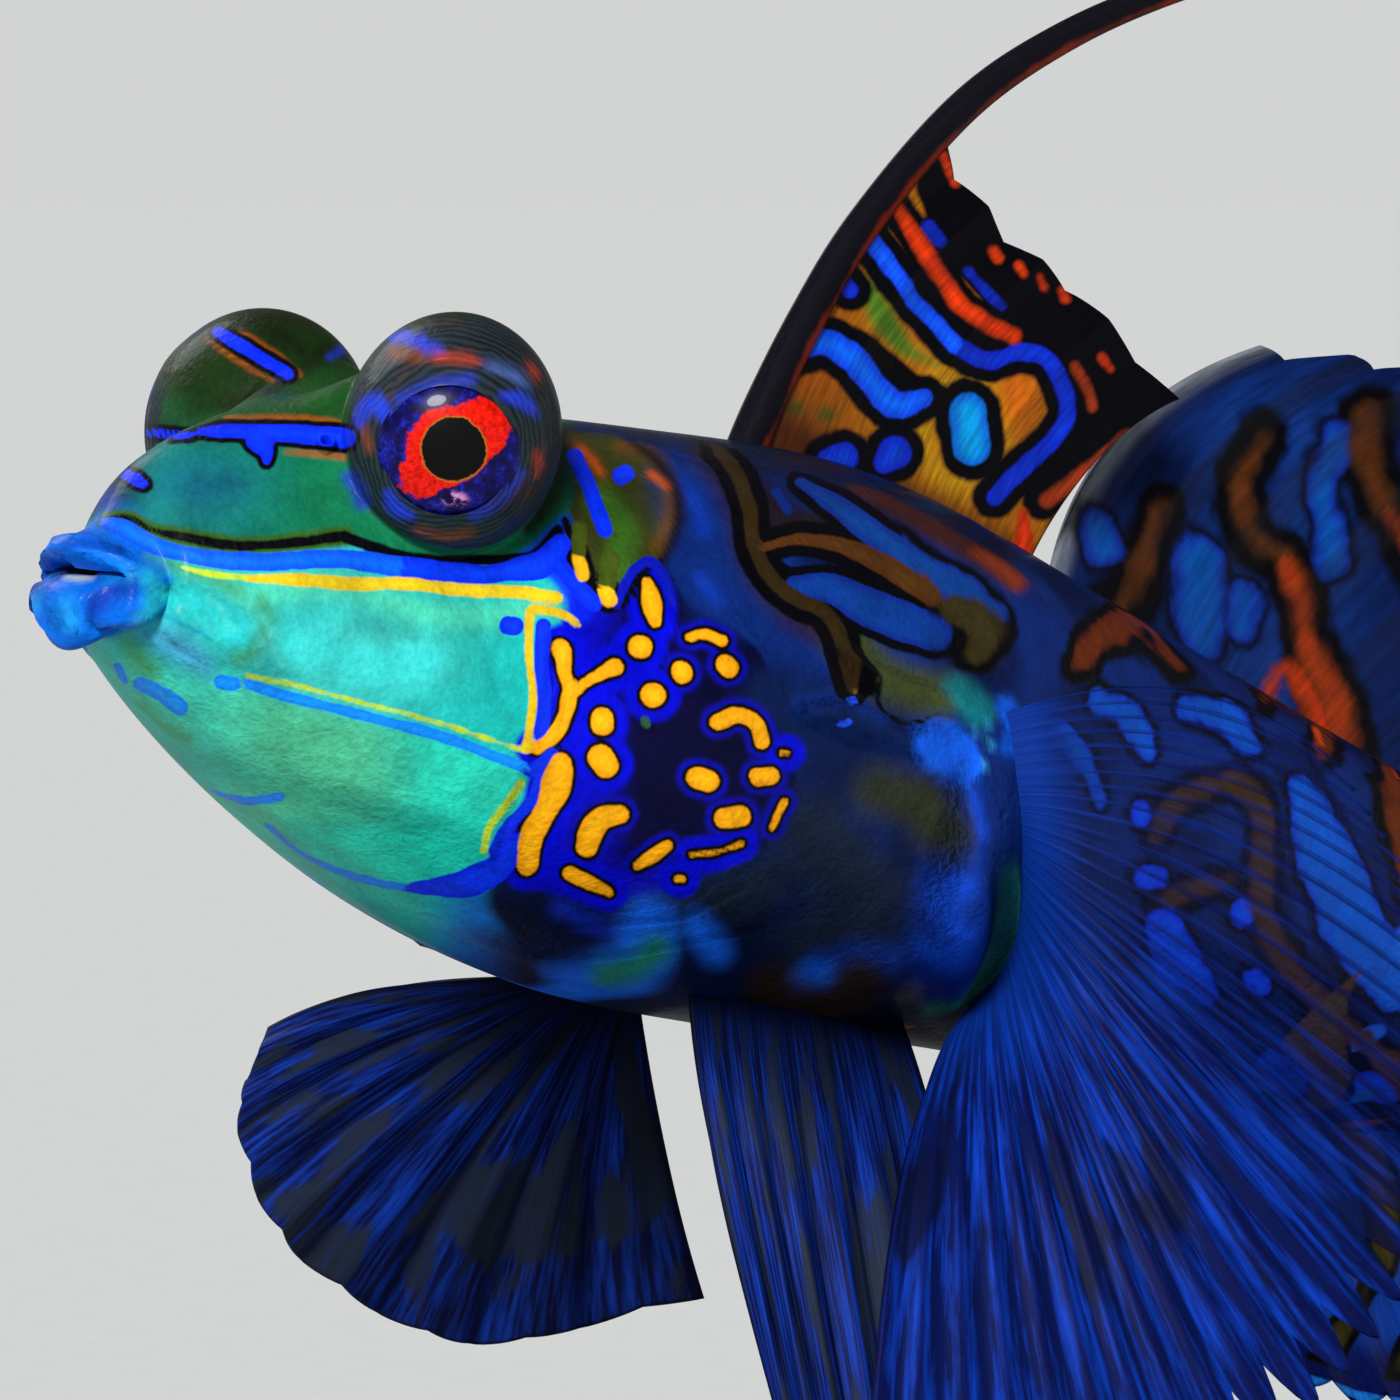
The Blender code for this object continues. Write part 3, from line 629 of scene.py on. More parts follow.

# %% [markdown]
# ## Soft patches
#
# Not every mark has a clean edge: painted highlights on the lips, cheek, folds and fin pad,
# painted shade in creases, on the far dome and under the mouth and gill cover, rust on the
# lids, the clouds of olive, teal and brown behind the gill cover. Each is an ink that fades
# in over a blur width, laid on the ground colour in this order, so a later one covers an
# earlier one.

# %% Soft patches of the face
# An ink, how far its edge is blurred in pixels, and lines.
FACE_PATCHES = (
    # painted shade: the underside and crease of the upper lip, the top of the corner lobe and the
    # place under the mouth; the snout front is darker blue too
    Patch("#082a96", 12, {
        "snout front": (20, ((64, 522), (80, 510), (104, 498))),
        "upper lip shade": (9, ((68, 545), (96, 548), (120, 553))),
        "shade in the upper lip crease": (5, ((63, 560), (66, 574))),
        "shade on the corner lobe top": (22, ((98, 604), (112, 592), (128, 583))),
        "shade under the mouth": (8, ((44, 578), (54, 582))),
    }),
    # painted light on the shaded side of the upper lip
    Patch("#0e80ff", 8, {"painted light on the upper lip": (22, ((78, 562), (98, 564), (118, 567)))}),
    # painted highlights on the lower lip, under the band and on the front lobe
    Patch("#1c93dc", 12, {
        "painted highlight on the lower lip": (14, ((66, 604), (72, 624))),
        "painted highlight under the band": (10, ((140, 572), (128, 575), (110, 578))),
        "painted highlight on the front lobe": (10, ((34, 590), (40, 606))),
    }),
    # painted shade: the far eye dome darkened against the light that falls on it
    Patch("#13280a", 14, {"far dome": (64, ((176, 362), (220, 376), (244, 388)))}),
    # painted shade in the valley under the far dome and along its top, where it turns away
    Patch("#141c08", 9, {
        "shade in the valley under the far dome": (12, ((190, 410, 8), (236, 402), (276, 388), (309, 364),
            (330, 350, 8))),
        "shade on the far dome top": (9, ((196, 324), (226, 317), (262, 324), (292, 344), (308, 362))),
    }),
    Patch("#16201c", 6, {
        "lid rear": (24, ((564, 424, 12), (561, 456, 22), (552, 492, 26), (530, 526, 18))),
    }),
    Patch("#0424cc", 4, {
        "blue beside the lid": (22, ((566, 518, 8), (558, 534, 22), (540, 550, 20))),
    }),
    Patch("#1c36c8", 5, {
        "crest of the dome": (8, ((330, 357, 5), (350, 345), (370, 336), (388, 333))),
        "dome band": (13, ((382, 333), (408, 338), (434, 350))),
        "dome patch": (17, ((358, 428, 8), (364, 410), (374, 402), (384, 412), (390, 428, 8))),
        "corner of the eye": (15, ((504, 396, 8), (522, 400), (534, 412, 8))),
        "front corner of the eye": (15, ((388, 494, 8), (394, 506), (410, 516, 8))),
    }),
    Patch("#1c2c9c", 7, {
        "dome lower patch": (15, ((350, 478), (358, 490), (362, 502))),
        "under the eye": (12, ((476, 514), (500, 500), (520, 476))),
        "over the eye": (12, ((400, 400), (430, 386), (470, 380))),
    }),
    Patch("#4a66b0", 6, {"mottles of the dome": (9, ((490, 366), (506, 371), (524, 380)))}),
    Patch("#6e3510", 6, {
        "brown on the dome": (14, ((394, 352), (406, 353), (419, 356))),
        "ember in the patch": (9, ((364, 430), (369, 448))),
        "brown low on the lid": (8, ((420, 530), (446, 536), (470, 532))),
    }),
    Patch("#a0300e", 6, {
        "ember over the dome": (10, ((436, 357), (456, 358), (475, 360))),
        "ember dots": (9, ((532, 368), (536, 373))),
        "ember dot low": (9, ((538, 456), (539, 468))),
    }),
    Patch("#0420dc", 5, {
        "blue by the cheek corner": (24, ((530, 560), (554, 568), (572, 590), (579, 614))),
    }),
    # painted shade: darker teal along the creases of the folds
    Patch("#0c86a8", 4, {
        "fold crease": (4, ((140, 581), (152, 578), (167, 574))),
        "lower fold crease": (4, ((136, 614), (146, 612), (160, 614), (177, 621), (208, 636))),
    }),
    # painted light: pale grey laid into the shaded slit of the mouth
    Patch("#a9b6b2", 4, {"painted light in the mouth opening": (8, ((54, 574, 5), (68, 576), (84, 577), (92, 577, 5)))}),
    Patch("#3f9cc4", 12, {
        "lower fold": (26, ((140, 626, 12), (165, 640), (190, 655), (206, 668, 14))),
    }),
    Patch("#3b8c58", 12, {
        "green chin": (20, ((126, 640, 10), (136, 656), (150, 670))),
        "green on the fold": (12, ((150, 556, 6), (180, 568), (215, 580), (236, 590))),
        "green round the fold": (12, ((262, 600, 8), (268, 625), (254, 650), (238, 660))),
        "green under the chin mark": (14, ((140, 706), (160, 724), (186, 738))),
    }),
    Patch("#1aa0b8", 9, {"behind the lips": (20, ((150, 574, 10), (154, 598), (148, 626, 12)))}),
    Patch("#1fb4b4", 10, {"maxilla": (30, ((166, 594, 16), (200, 604), (230, 620), (236, 632)))}),
    # painted highlight on the cheek
    Patch("#34c4c0", 16, {"painted highlight on the cheek": (44, ((300, 640), (350, 660), (420, 668)))}),
    # painted highlights along the folds of the cheek
    Patch("#4cc4ba", 4, {
        "painted highlight on a fold": (3, ((266, 616), (272, 640), (280, 664))),
        "second painted highlight on a fold": (3, ((262, 640), (262, 652), (257, 666))),
        "third painted highlight on a fold": (3, ((206, 596), (222, 610), (230, 628))),
    }),
)
print("soft patches of the face:", sum(len(group.lines) for group in FACE_PATCHES))

# %% Soft patches of the nape, flank and belly
BODY_PATCHES = (
    Patch("#08266e", 26, {"blue nape": (64, ((690, 480), (706, 530), (728, 600)))}),
    Patch("#0a32a0", 10, {
        "blue on the nape": (12, ((668, 474), (694, 500), (704, 530))),
        "blue by the gill": (10, ((700, 580), (716, 600))),
    }),
    Patch("#0a1226", 18, {
        "dark back": (60, ((700, 440), (770, 452), (860, 480), (940, 510), (1000, 545))),
    }),
    Patch("#1a120c", 12, {
        "dark between the bands": (40, ((752, 486, 26), (790, 524), (836, 534), (880, 548),
            (926, 578, 26))),
        "dark round the arch": (60, ((900, 590), (950, 626), (980, 640))),
    }),
    Patch("#2a180a", 16, {
        "brown by the gill": (26, ((706, 452), (738, 500), (752, 560), (790, 610), (836, 640))),
    }),
    Patch("#3e1c0c", 9, {
        "rust under the sail": (22, ((856, 488, 12), (900, 506), (945, 536), (985, 558),
            (1014, 580))),
    }),
    Patch("#8e3414", 8, {"ember under the sail": (14, ((976, 552, 8), (1000, 566), (1018, 582)))}),
    Patch("#061844", 20, {"dark flap": (70, ((775, 700), (830, 715), (885, 735)))}),
    # painted highlight on the top of the gill flap
    Patch("#0b2f86", 12, {"painted highlight on the flap": (14, ((800, 706), (840, 700), (872, 716)))}),
    Patch("#3b4310", 14, {
        "olive shoulder": (46, ((848, 640), (875, 672), (915, 690), (940, 694))),
    }),
    Patch("#0e7078", 10, {"green shoulder spot": (30, ((956, 690), (968, 700), (980, 712)))}),
    Patch("#0a2c86", 18, {
        "fin pad": (52, ((962, 790, 34), (962, 830), (950, 880, 60), (944, 930, 66),
            (936, 985, 40))),
    }),
    # painted highlights on the raised pad of the pectoral fin
    Patch("#0f45c8", 12, {
        "painted highlight on the pad": (22, ((950, 880), (938, 900), (952, 930), (932, 950))),
        "painted highlight on the pad top": (14, ((968, 800), (978, 830))),
    }),
    # teal of the skin, made paler to make up for its shade: partly painted light
    Patch("#1f6c66", 10, {
        "teal beside the pad": (26, ((1010, 870, 12), (1013, 910), (1000, 950), (965, 985),
            (930, 1010, 12))),
    }),
    Patch("#0d56d8", 5, {
        "blue flap": (44, ((924, 740, 34), (944, 750, 54), (962, 764, 40))),
        "fin root": (20, ((1006, 706), (1016, 730), (1010, 748))),
    }),
    # painted highlights on the tops of the raised bumps
    Patch("#2d8cc8", 4, {
        "painted bump highlights": (7, ((986, 727), (987, 728))),
        "painted bump highlight b": (6, ((982, 763), (983, 764))),
        "painted bump highlight c": (6, ((974, 735), (975, 736))),
        "painted bump highlight d": (6, ((989, 743), (990, 744))),
    }),
    Patch("#0828b0", 12, {"blue under the gill cover": (16, ((560, 908), (600, 926), (640, 930)))}),
    # dark blue-grey of the throat, with a painted shadow under the edge of the gill cover
    Patch("#152030", 30, {
        "dark throat": (90, ((820, 840), (860, 900), (820, 960))),
        "painted shadow under the gill": (46, ((640, 920), (720, 900), (790, 870))),
    }),
    Patch("#2c3018", 18, {"olive under the flap": (52, ((880, 790), (925, 806), (940, 830)))}),
    Patch("#0b2c80", 16, {"blue over the belly": (26, ((820, 966), (860, 955), (890, 960)))}),
    Patch("#1064ec", 16, {
        "blue belly": (58, ((552, 996), (590, 988), (640, 960), (650, 930))),
        "blue belly rear": (26, ((696, 926), (716, 950))),
        "blue under the gill": (18, ((800, 984), (812, 974), (824, 976))),
    }),
    Patch("#1a7a56", 14, {"green belly": (30, ((606, 975), (636, 966), (656, 950)))}),
    Patch("#24190a", 18, {"brown belly": (50, ((770, 990), (830, 1010), (860, 985)))}),
    Patch("#5c3c10", 9, {
        "rust on the nape": (14, ((622, 446), (646, 452), (664, 474), (672, 506), (660, 548))),
        "rust by the lid": (10, ((574, 440), (592, 458), (604, 480))),
    }),
    Patch("#b4480e", 4, {
        "ember behind the eye": (7, ((580, 448), (590, 458), (600, 472))),
        "ember tips": (8, ((652, 474), (668, 486))),
    }),
    Patch("#07080e", 6, {
        "nape edge": (12, ((630, 440, 6), (656, 460), (674, 484), (679, 514), (664, 560))),
    }),
    Patch("#2f5a18", 12, {"green behind the eye": (30, ((600, 500), (622, 530), (618, 570)))}),
)
PATCHES = FACE_PATCHES + BODY_PATCHES
print("soft patches in all:", sum(len(group.lines) for group in PATCHES))

# %% [markdown]
# ## Relief
#
# Lips, cheek folds, the gill's fleshy flap and the pad of the pectoral fin stand a few
# tenths of a millimetre proud, and creases are sunk as much. They follow the photograph
# as the colours do, so relief and colour of one fold can't slip apart.

# %% Relief
# Millimetres up, how far in from its edge that height is reached in pixels, and lines.
RELIEF = (
    Rise(0.13, 15, {
        "upper lip front": (28, ((38, 562), (54, 562))),
        "upper lip side": (28, ((78, 562, 24), (100, 563), (124, 568, 20))),
        "fold over the lip": (14, ((74, 538, 10), (100, 543), (130, 552, 10))),
        "lower lip front": (36, ((36, 592, 26), (44, 612), (58, 630, 24))),
        "corner lobe": (40, ((120, 590, 24), (106, 604), (100, 620, 32))),
    }),
    Rise(0.06, 5, {"closed corner of the mouth": (18, ((100, 576, 12), (114, 577), (136, 578)))}),
    Rise(-0.08, 6, {
        "between the lip lobes": (6, ((63, 556), (65, 566), (67, 575))),
        "beside the corner lobe": (7, ((80, 596), (76, 612), (76, 632))),
        "behind the corner lobe": (6, ((134, 580), (133, 600), (124, 620), (110, 636))),
        "over the upper lip": (5, ((64, 548), (84, 552), (110, 552), (134, 560))),
        "into the band": (4, ((100, 524), (116, 536), (132, 548))),
    }),
    Rise(0.12, 22, {
        "maxilla": (44, ((152, 592, 24), (180, 598), (212, 610, 54), (236, 624, 40))),
        "fold under it": (24, ((142, 628, 14), (172, 644), (200, 662, 14))),
    }),
    Rise(-0.05, 6, {
        "under the maxilla": (5, ((129, 617), (143, 612), (160, 614), (177, 621), (208, 636),
            (231, 650))),
        "behind the maxilla": (5, ((212, 583), (240, 597), (260, 619), (254, 642))),
        "crease of the cheek": (4, ((268, 612), (276, 640), (286, 664))),
        "second crease": (4, ((196, 586), (216, 602), (224, 626))),
        "chin crease": (5, ((112, 640), (132, 664), (160, 686), (190, 716))),
        "jaw crease": (5, ((200, 768), (250, 776), (300, 772), (360, 790), (420, 804))),
        "second jaw crease": (5, ((240, 742), (300, 750), (370, 766), (440, 786))),
    }),
    Rise(0.1, 16, {
        "cheek rear edge": (20, ((556, 640), (548, 700), (540, 750), (512, 812), (498, 860))),
    }),
    Rise(0.24, 20, {
        "gill flap": (50, ((806, 712, 30), (835, 716), (868, 728), (900, 742, 34))),
        "olive shoulder": (40, ((842, 652, 20), (870, 676), (916, 694), (950, 704, 30))),
        "brown fold": (18, ((846, 640, 10), (852, 664), (850, 694, 10))),
    }),
    Rise(0.14, 7, {"blue flap": (46, ((922, 742, 36), (944, 752, 56), (962, 764, 40)))}),
    Rise(0.42, 34, {
        "fin pad": (70, ((958, 780, 40), (962, 830, 52), (958, 880, 76), (956, 930, 84),
            (950, 985, 60))),
        "fin pad rear": (30, ((1010, 860, 20), (1012, 910), (996, 960, 40), (950, 1006, 20))),
    }),
    Rise(0.1, 5, {
        "bump a": (11, ((972, 734), (974, 736))),
        "bump b": (10, ((984, 726), (986, 728))),
        "bump c": (9, ((978, 748), (980, 750))),
        "bump d": (11, ((988, 742), (990, 745))),
        "bump e": (9, ((982, 762), (983, 765))),
        "bump f": (9, ((992, 772), (993, 776))),
        "bump g": (9, ((998, 792), (999, 796))),
        "bump h": (8, ((1003, 812), (1004, 816))),
    }),
    Rise(-0.1, 9, {
        "gill cover edge": (8, ((735, 612), (756, 640), (776, 676), (788, 720), (794, 770),
            (784, 820), (760, 852), (700, 884), (640, 904), (590, 906))),
        "under the flap": (9, ((780, 762), (820, 768), (870, 776), (905, 772))),
        "beside the shoulder": (8, ((836, 628), (850, 640), (870, 650))),
    }),
    Rise(0.07, 8, {
        "nape fold": (10, ((672, 456), (700, 462), (724, 486), (738, 520), (748, 560), (770, 594),
            (812, 616))),
        "belly fold": (12, ((560, 930), (620, 925), (690, 915), (740, 890))),
        "second belly fold": (12, ((540, 955), (600, 958), (680, 946), (760, 930))),
        "eye fold": (9, ((576, 470), (586, 500), (600, 530), (610, 560))),
    }),
)
print("raised and sunk places:", sum(len(group.lines) for group in RELIEF))

# %% [markdown]
# ## Marks of the near flank
#
# Behind the gill cover the photograph shows brown arches and stripes with wide black
# edges, and blue blobs between them. They are read like the lines of the face, as far
# back as the photograph goes.

# %% Lines of the near flank
FLANK_LINES = (
    Marks("#2c1f0c", "warm", 12, {
        "brown stripe": (15, ((716, 446), (732, 466), (748, 503), (755, 549), (771, 577),
            (799, 601), (825, 612), (838, 632), (846, 660), (852, 688, 12))),
    }),
    Marks("#4c2a0e", "warm", 12, {
        "arch": (11, ((762, 548, 8), (799, 539), (835, 544, 15), (876, 560, 20), (907, 579, 22),
            (930, 597, 16))),
    }),
    Marks("#332a12", "warm", 10, {
        "olive end of the arch": (34, ((956, 612, 26), (978, 620), (986, 636), (974, 654, 24))),
    }),
    # painted highlights on the raised brown stripe and arch
    Marks("#7a5216", "warm", 0, {
        "painted highlight on the brown stripe": (8, ((838, 640), (847, 664), (854, 690))),
        "painted highlight on the arch": (9, ((872, 562), (896, 574), (912, 588))),
    }),
    Marks("#0a2884", "cool", 9, {
        "blotch in the arch": (34, ((796, 586, 22), (830, 588, 30), (866, 606, 38), (905, 622, 40),
            (936, 634, 34))),
    }),
    Marks("#0c2c84", "cool", 9, {
        "streak over the arch": (22, ((800, 482, 10), (840, 508), (881, 539, 26), (922, 566, 30),
            (964, 590, 28), (996, 612, 18))),
    }),
    Marks("#0a2270", "cool", 0, {"nape fleck": (9, ((776, 492), (788, 510)))}),
    Marks("#1848d8", "cool", 0, {
        "flecks": (9, ((846, 702), (852, 700))),
        "flecks low": (7, ((833, 724), (840, 722))),
    }),
    Marks("#3a2408", "warm", 12, {
        "ring": (22, ((1156, 838, 14), (1172, 806), (1204, 786), (1240, 784), (1262, 806),
            (1264, 850), (1262, 905), (1284, 962), (1326, 1008), (1372, 1050), (1420, 1096, 34))),
        "bar in the ring": (20, ((1158, 902, 10), (1190, 890), (1228, 882, 14))),
    }),
    Marks("#5c2208", "warm", 14, {
        "stripe foot": (28, ((1076, 664, 14), (1100, 640), (1130, 620, 34), (1180, 664, 12))),
        "second stripe foot": (30, ((1262, 700, 14), (1292, 690), (1322, 716), (1326, 752, 16))),
        "third stripe foot": (22, ((1376, 740), (1396, 790), (1404, 850), (1430, 930))),
    }),
    Marks("#c2400c", "warm", 0, {
        "ember foot": (14, ((1316, 724), (1324, 748))),
        "ember foot front": (12, ((1088, 656), (1106, 640))),
        "ember foot rear": (10, ((1384, 746), (1396, 776))),
    }),
    Marks("#0a38f0", "cool", 8, {
        "blob a": (22, ((1140, 812), (1141, 816))),
        "blob b": (26, ((1142, 876), (1156, 877))),
        "long blob": (44, ((1160, 926, 34), (1176, 956), (1206, 992, 26))),
        "blob c": (22, ((1243, 912), (1244, 915))),
        "blob d": (26, ((1256, 980), (1262, 984))),
        "blob e": (26, ((1270, 1066), (1296, 1082))),
        "blob f": (28, ((1366, 1086), (1386, 1090))),
    }),
    Marks("#0840c4", "cool", 8, {
        "wide stripe": (56, ((1300, 790, 30), (1322, 850), (1352, 920, 64), (1396, 990, 50))),
        "mottles": (34, ((1190, 706, 20), (1226, 716), (1250, 748, 24))),
        "mottles front": (26, ((1100, 702), (1130, 716), (1150, 752, 18))),
        "mottles low": (20, ((1056, 730), (1082, 760), (1098, 800, 14))),
    }),
    Marks(BLACK, "dark", 0, {
        "shoulder edge": (5, ((842, 640), (866, 668), (884, 712), (900, 722), (940, 716))),
    }),
)
print("marks on the near flank:", sum(len(group.lines) for group in FLANK_LINES))

# %% [markdown]
# ## From the photograph to the skin
#
# A line becomes a row of small discs, a few pixels apart. Each disc is carried along
# its sight line to the skin, and a point of the skin takes its distance to the nearest
# one. In the photograph's plane alone a line would smear where the skin turns away.


# %% Following a line
def follow(line, width, gap=4.0):
    """A row of (x, y, width) about every 4 pixels along a smooth line through its points."""
    points = np.array([(p[0], p[1], p[2] if len(p) > 2 else width) for p in line], float)
    steps = np.linalg.norm(np.diff(points[:, :2], axis=0), axis=1)
    length = np.concatenate([[0], np.cumsum(steps)])
    if len(points) < 3:
        at = np.linspace(0, length[-1], max(2, int(length[-1] / gap) + 1))
        return np.stack([np.interp(at, length, points[:, k]) for k in range(3)], -1)
    at = np.linspace(0, length[-1], int(length[-1] / gap) + 2)
    return smooth_points(at, length, points)


def nearest(points, centres, radii, block=400):
    """The least of (distance to a centre, less its radius) for each point, in blocks."""
    best = np.full(len(points), np.inf)
    for i in range(0, len(centres), block):
        reach = points[:, None] - centres[None, i : i + block]
        span = np.sqrt((reach**2).sum(-1)) - radii[None, i : i + block]
        best = np.minimum(best, span.min(1))
    return best


class Sight:
    """Where the photograph's sight lines meet a surface of straight-fish triangles."""

    def __init__(self, points, faces):
        self.points, self.faces = points, faces
        self.tree = BVHTree.FromPolygons(posed(points).tolist(), faces.tolist())
        self.eye = Vector(CAMERA_PLACE)

    def meet(self, x, y):
        """The straight-fish point seen at a pixel, by its weights in the triangle hit."""
        half = PHOTO_WIDTH / 2
        way = RIGHT * (x - half) - UP * (y - half) - BACK * FOCAL
        place, _, face, _ = self.tree.ray_cast(self.eye, Vector(way).normalized())
        if place is None:
            return None
        a, b, c = posed(self.points[self.faces[face]])
        p = np.array(place)
        m = np.stack([b - a, c - a], -1)
        u, v = np.linalg.lstsq(m, p - a, rcond=None)[0]
        a, b, c = self.points[self.faces[face]]
        return a + u * (b - a) + v * (c - a)


BROW_WIDTH, BROW = FACE_LINES[0].lines["brow band"]
print("discs along the brow band:", len(follow(BROW, BROW_WIDTH)))

# %% Drawing the marks
GUARD = 0.9
MARK_REACH_PIXELS = 70
MARK_REACH_MM = 2
LAYERS = ("halo", "dark", "cool", "warm")


def draw(groups, pixels, near_points, facing, sight=None):
    """Edge distances in mm and inks for the layers halo, dark, cool and warm.

    A line's distance is taken in the photograph's own plane where the surface faces the
    camera, and over the surface elsewhere. A point that only lies behind a line, more
    than 0.9 mm from it, is left alone.
    """
    count = len(pixels)
    layers = {name: [np.full(count, 1.0), np.zeros((count, 3))] for name in LAYERS}

    def lay(layer, chosen, distance, ink):
        best, inks = layers[layer]
        closer = distance < best[chosen]
        index = np.nonzero(chosen)[0][closer]
        best[index] = distance[closer]
        inks[index] = linear(ink)

    for group in groups:
        for width, line in group.lines.values():
            row = follow(line, width)
            low, high = row[:, :2].min(0), row[:, :2].max(0)
            chosen = (pixels > low - MARK_REACH_PIXELS) & (pixels < high + MARK_REACH_PIXELS)
            chosen = chosen.all(1)
            if sight is not None:
                met = [sight.meet(x, y) for x, y in row[:, :2]]
                kept = [k for k, m in enumerate(met) if m is not None]
                if not kept:
                    continue
                centres = np.array([met[k] for k in kept])
                chosen &= (near_points > centres.min(0) - MARK_REACH_MM).all(1)
                chosen &= (near_points < centres.max(0) + MARK_REACH_MM).all(1)
            if not chosen.any():
                continue
            distance = nearest(pixels[chosen], row[:, :2], row[:, 2] / 2) * MM_PER_PIXEL
            if sight is not None:
                over = nearest(near_points[chosen], centres, row[kept, 2] / 2 * MM_PER_PIXEL)
                share = step((facing[chosen] - 0.12) / 0.2)
                distance = np.maximum(over + (distance - over) * share, over - GUARD)
            lay(group.layer, chosen, distance, group.ink)
            if group.edge:
                lay("dark", chosen, distance - group.edge * MM_PER_PIXEL, BLACK)
            if group.halo:
                lay("halo", chosen, distance - group.halo * MM_PER_PIXEL, group.halo_ink)
    return layers


print("layers, lowest first:", *LAYERS)

# %% Patches, relief and outlines
PATCH_COVERS = 0.92


def lay_patches(colour, groups, pixels, near_points, facing, sight):
    """Soft patches: each ink fades in over its blur width across the patch's edge."""
    for group in groups:
        line = Marks(group.ink, "warm", 0, group.lines)
        distance = draw((line,), pixels, near_points, facing, sight)["warm"][0]
        share = step(0.5 - distance / (2 * group.soft * MM_PER_PIXEL)) * PATCH_COVERS
        colour = blend_colours(colour, linear(group.ink), share)
    return colour


def relief(pixels, near_points, facing, sight):
    """Millimetres off the smooth skin: each height is eased in from its line's edge."""
    total = np.zeros(len(pixels))
    for group in RELIEF:
        line = Marks(BLACK, "warm", 0, group.lines)
        distance = draw((line,), pixels, near_points, facing, sight)["warm"][0]
        total += group.height * step(-distance / (group.soft * MM_PER_PIXEL))
    return total


def inside(outline, pixels):
    """Signed distance in pixels to a closed outline, negative inside (even-odd rule)."""
    a = np.array(outline, float)
    b = np.roll(a, -1, axis=0)
    p = pixels[:, None]
    t = np.clip(((p - a) * (b - a)).sum(-1) / ((b - a) ** 2).sum(-1), 0, 1)
    gap = np.linalg.norm(p - a - t[..., None] * (b - a), axis=-1).min(1)
    rise = (a[:, 1] > p[..., 1]) != (b[:, 1] > p[..., 1])
    with np.errstate(divide="ignore", invalid="ignore"):
        cross = a[:, 0] + (p[..., 1] - a[:, 1]) / (b[:, 1] - a[:, 1]) * (b[:, 0] - a[:, 0])
    odd = (rise & (p[..., 0] < cross)).sum(1) % 2 == 1
    return np.where(odd, -gap, gap)


HEIGHTS = [group.height for group in RELIEF]
print("relief from", min(HEIGHTS), "to", max(HEIGHTS), "mm")

# %% [markdown]
# ## Ground colours of the skin
#
# Under the lines the skin runs from blue lips over a turquoise cheek to a navy gill
# cover, and from a green snout to the blue and brown flank. These are soft changes,
# so a few named colours and eased steps across the photograph describe them.

# %% Borders of the ground colours
FACE_LINE_X = (60, 100, 150, 228, 343, 420, 540, 620, 760)
FACE_LINE_Y = (532, 521, 531, 545, 535, 560, 555, 520, 470)
CHEEK_LINE_X = (100, 218, 325, 440, 530, 700)
CHEEK_LINE_Y = (655, 683, 706, 736, 770, 850)
GILL_COVER = (
    (556, 536), (574, 560), (594, 606), (612, 600), (634, 566), (652, 556), (668, 570),
    (690, 606), (728, 622), (760, 650), (782, 690), (792, 735), (796, 780), (790, 826),
    (762, 852), (700, 878), (640, 900), (590, 902), (540, 892), (497, 872), (506, 838),
    (524, 812), (534, 776), (545, 758), (550, 700), (549, 650), (560, 622), (570, 604),
)
OLIVE_PATCH = (
    (566, 430), (616, 434), (650, 455), (673, 486), (676, 510), (664, 559), (641, 574),
    (620, 600), (598, 600), (583, 574), (575, 545), (567, 515), (574, 480),
)
GILL_FRONT_Y = (400, 470, 560, 600, 700, 770, 850, 900, 980)
GILL_FRONT_X = (556, 560, 566, 570, 552, 540, 496, 474, 560)
JAW_X, JAW_Y = (100, 150, 250, 350, 450, 560), (690, 745, 850, 905, 950, 985)
print("outline points read:", len(GILL_COVER) + len(OLIVE_PATCH))


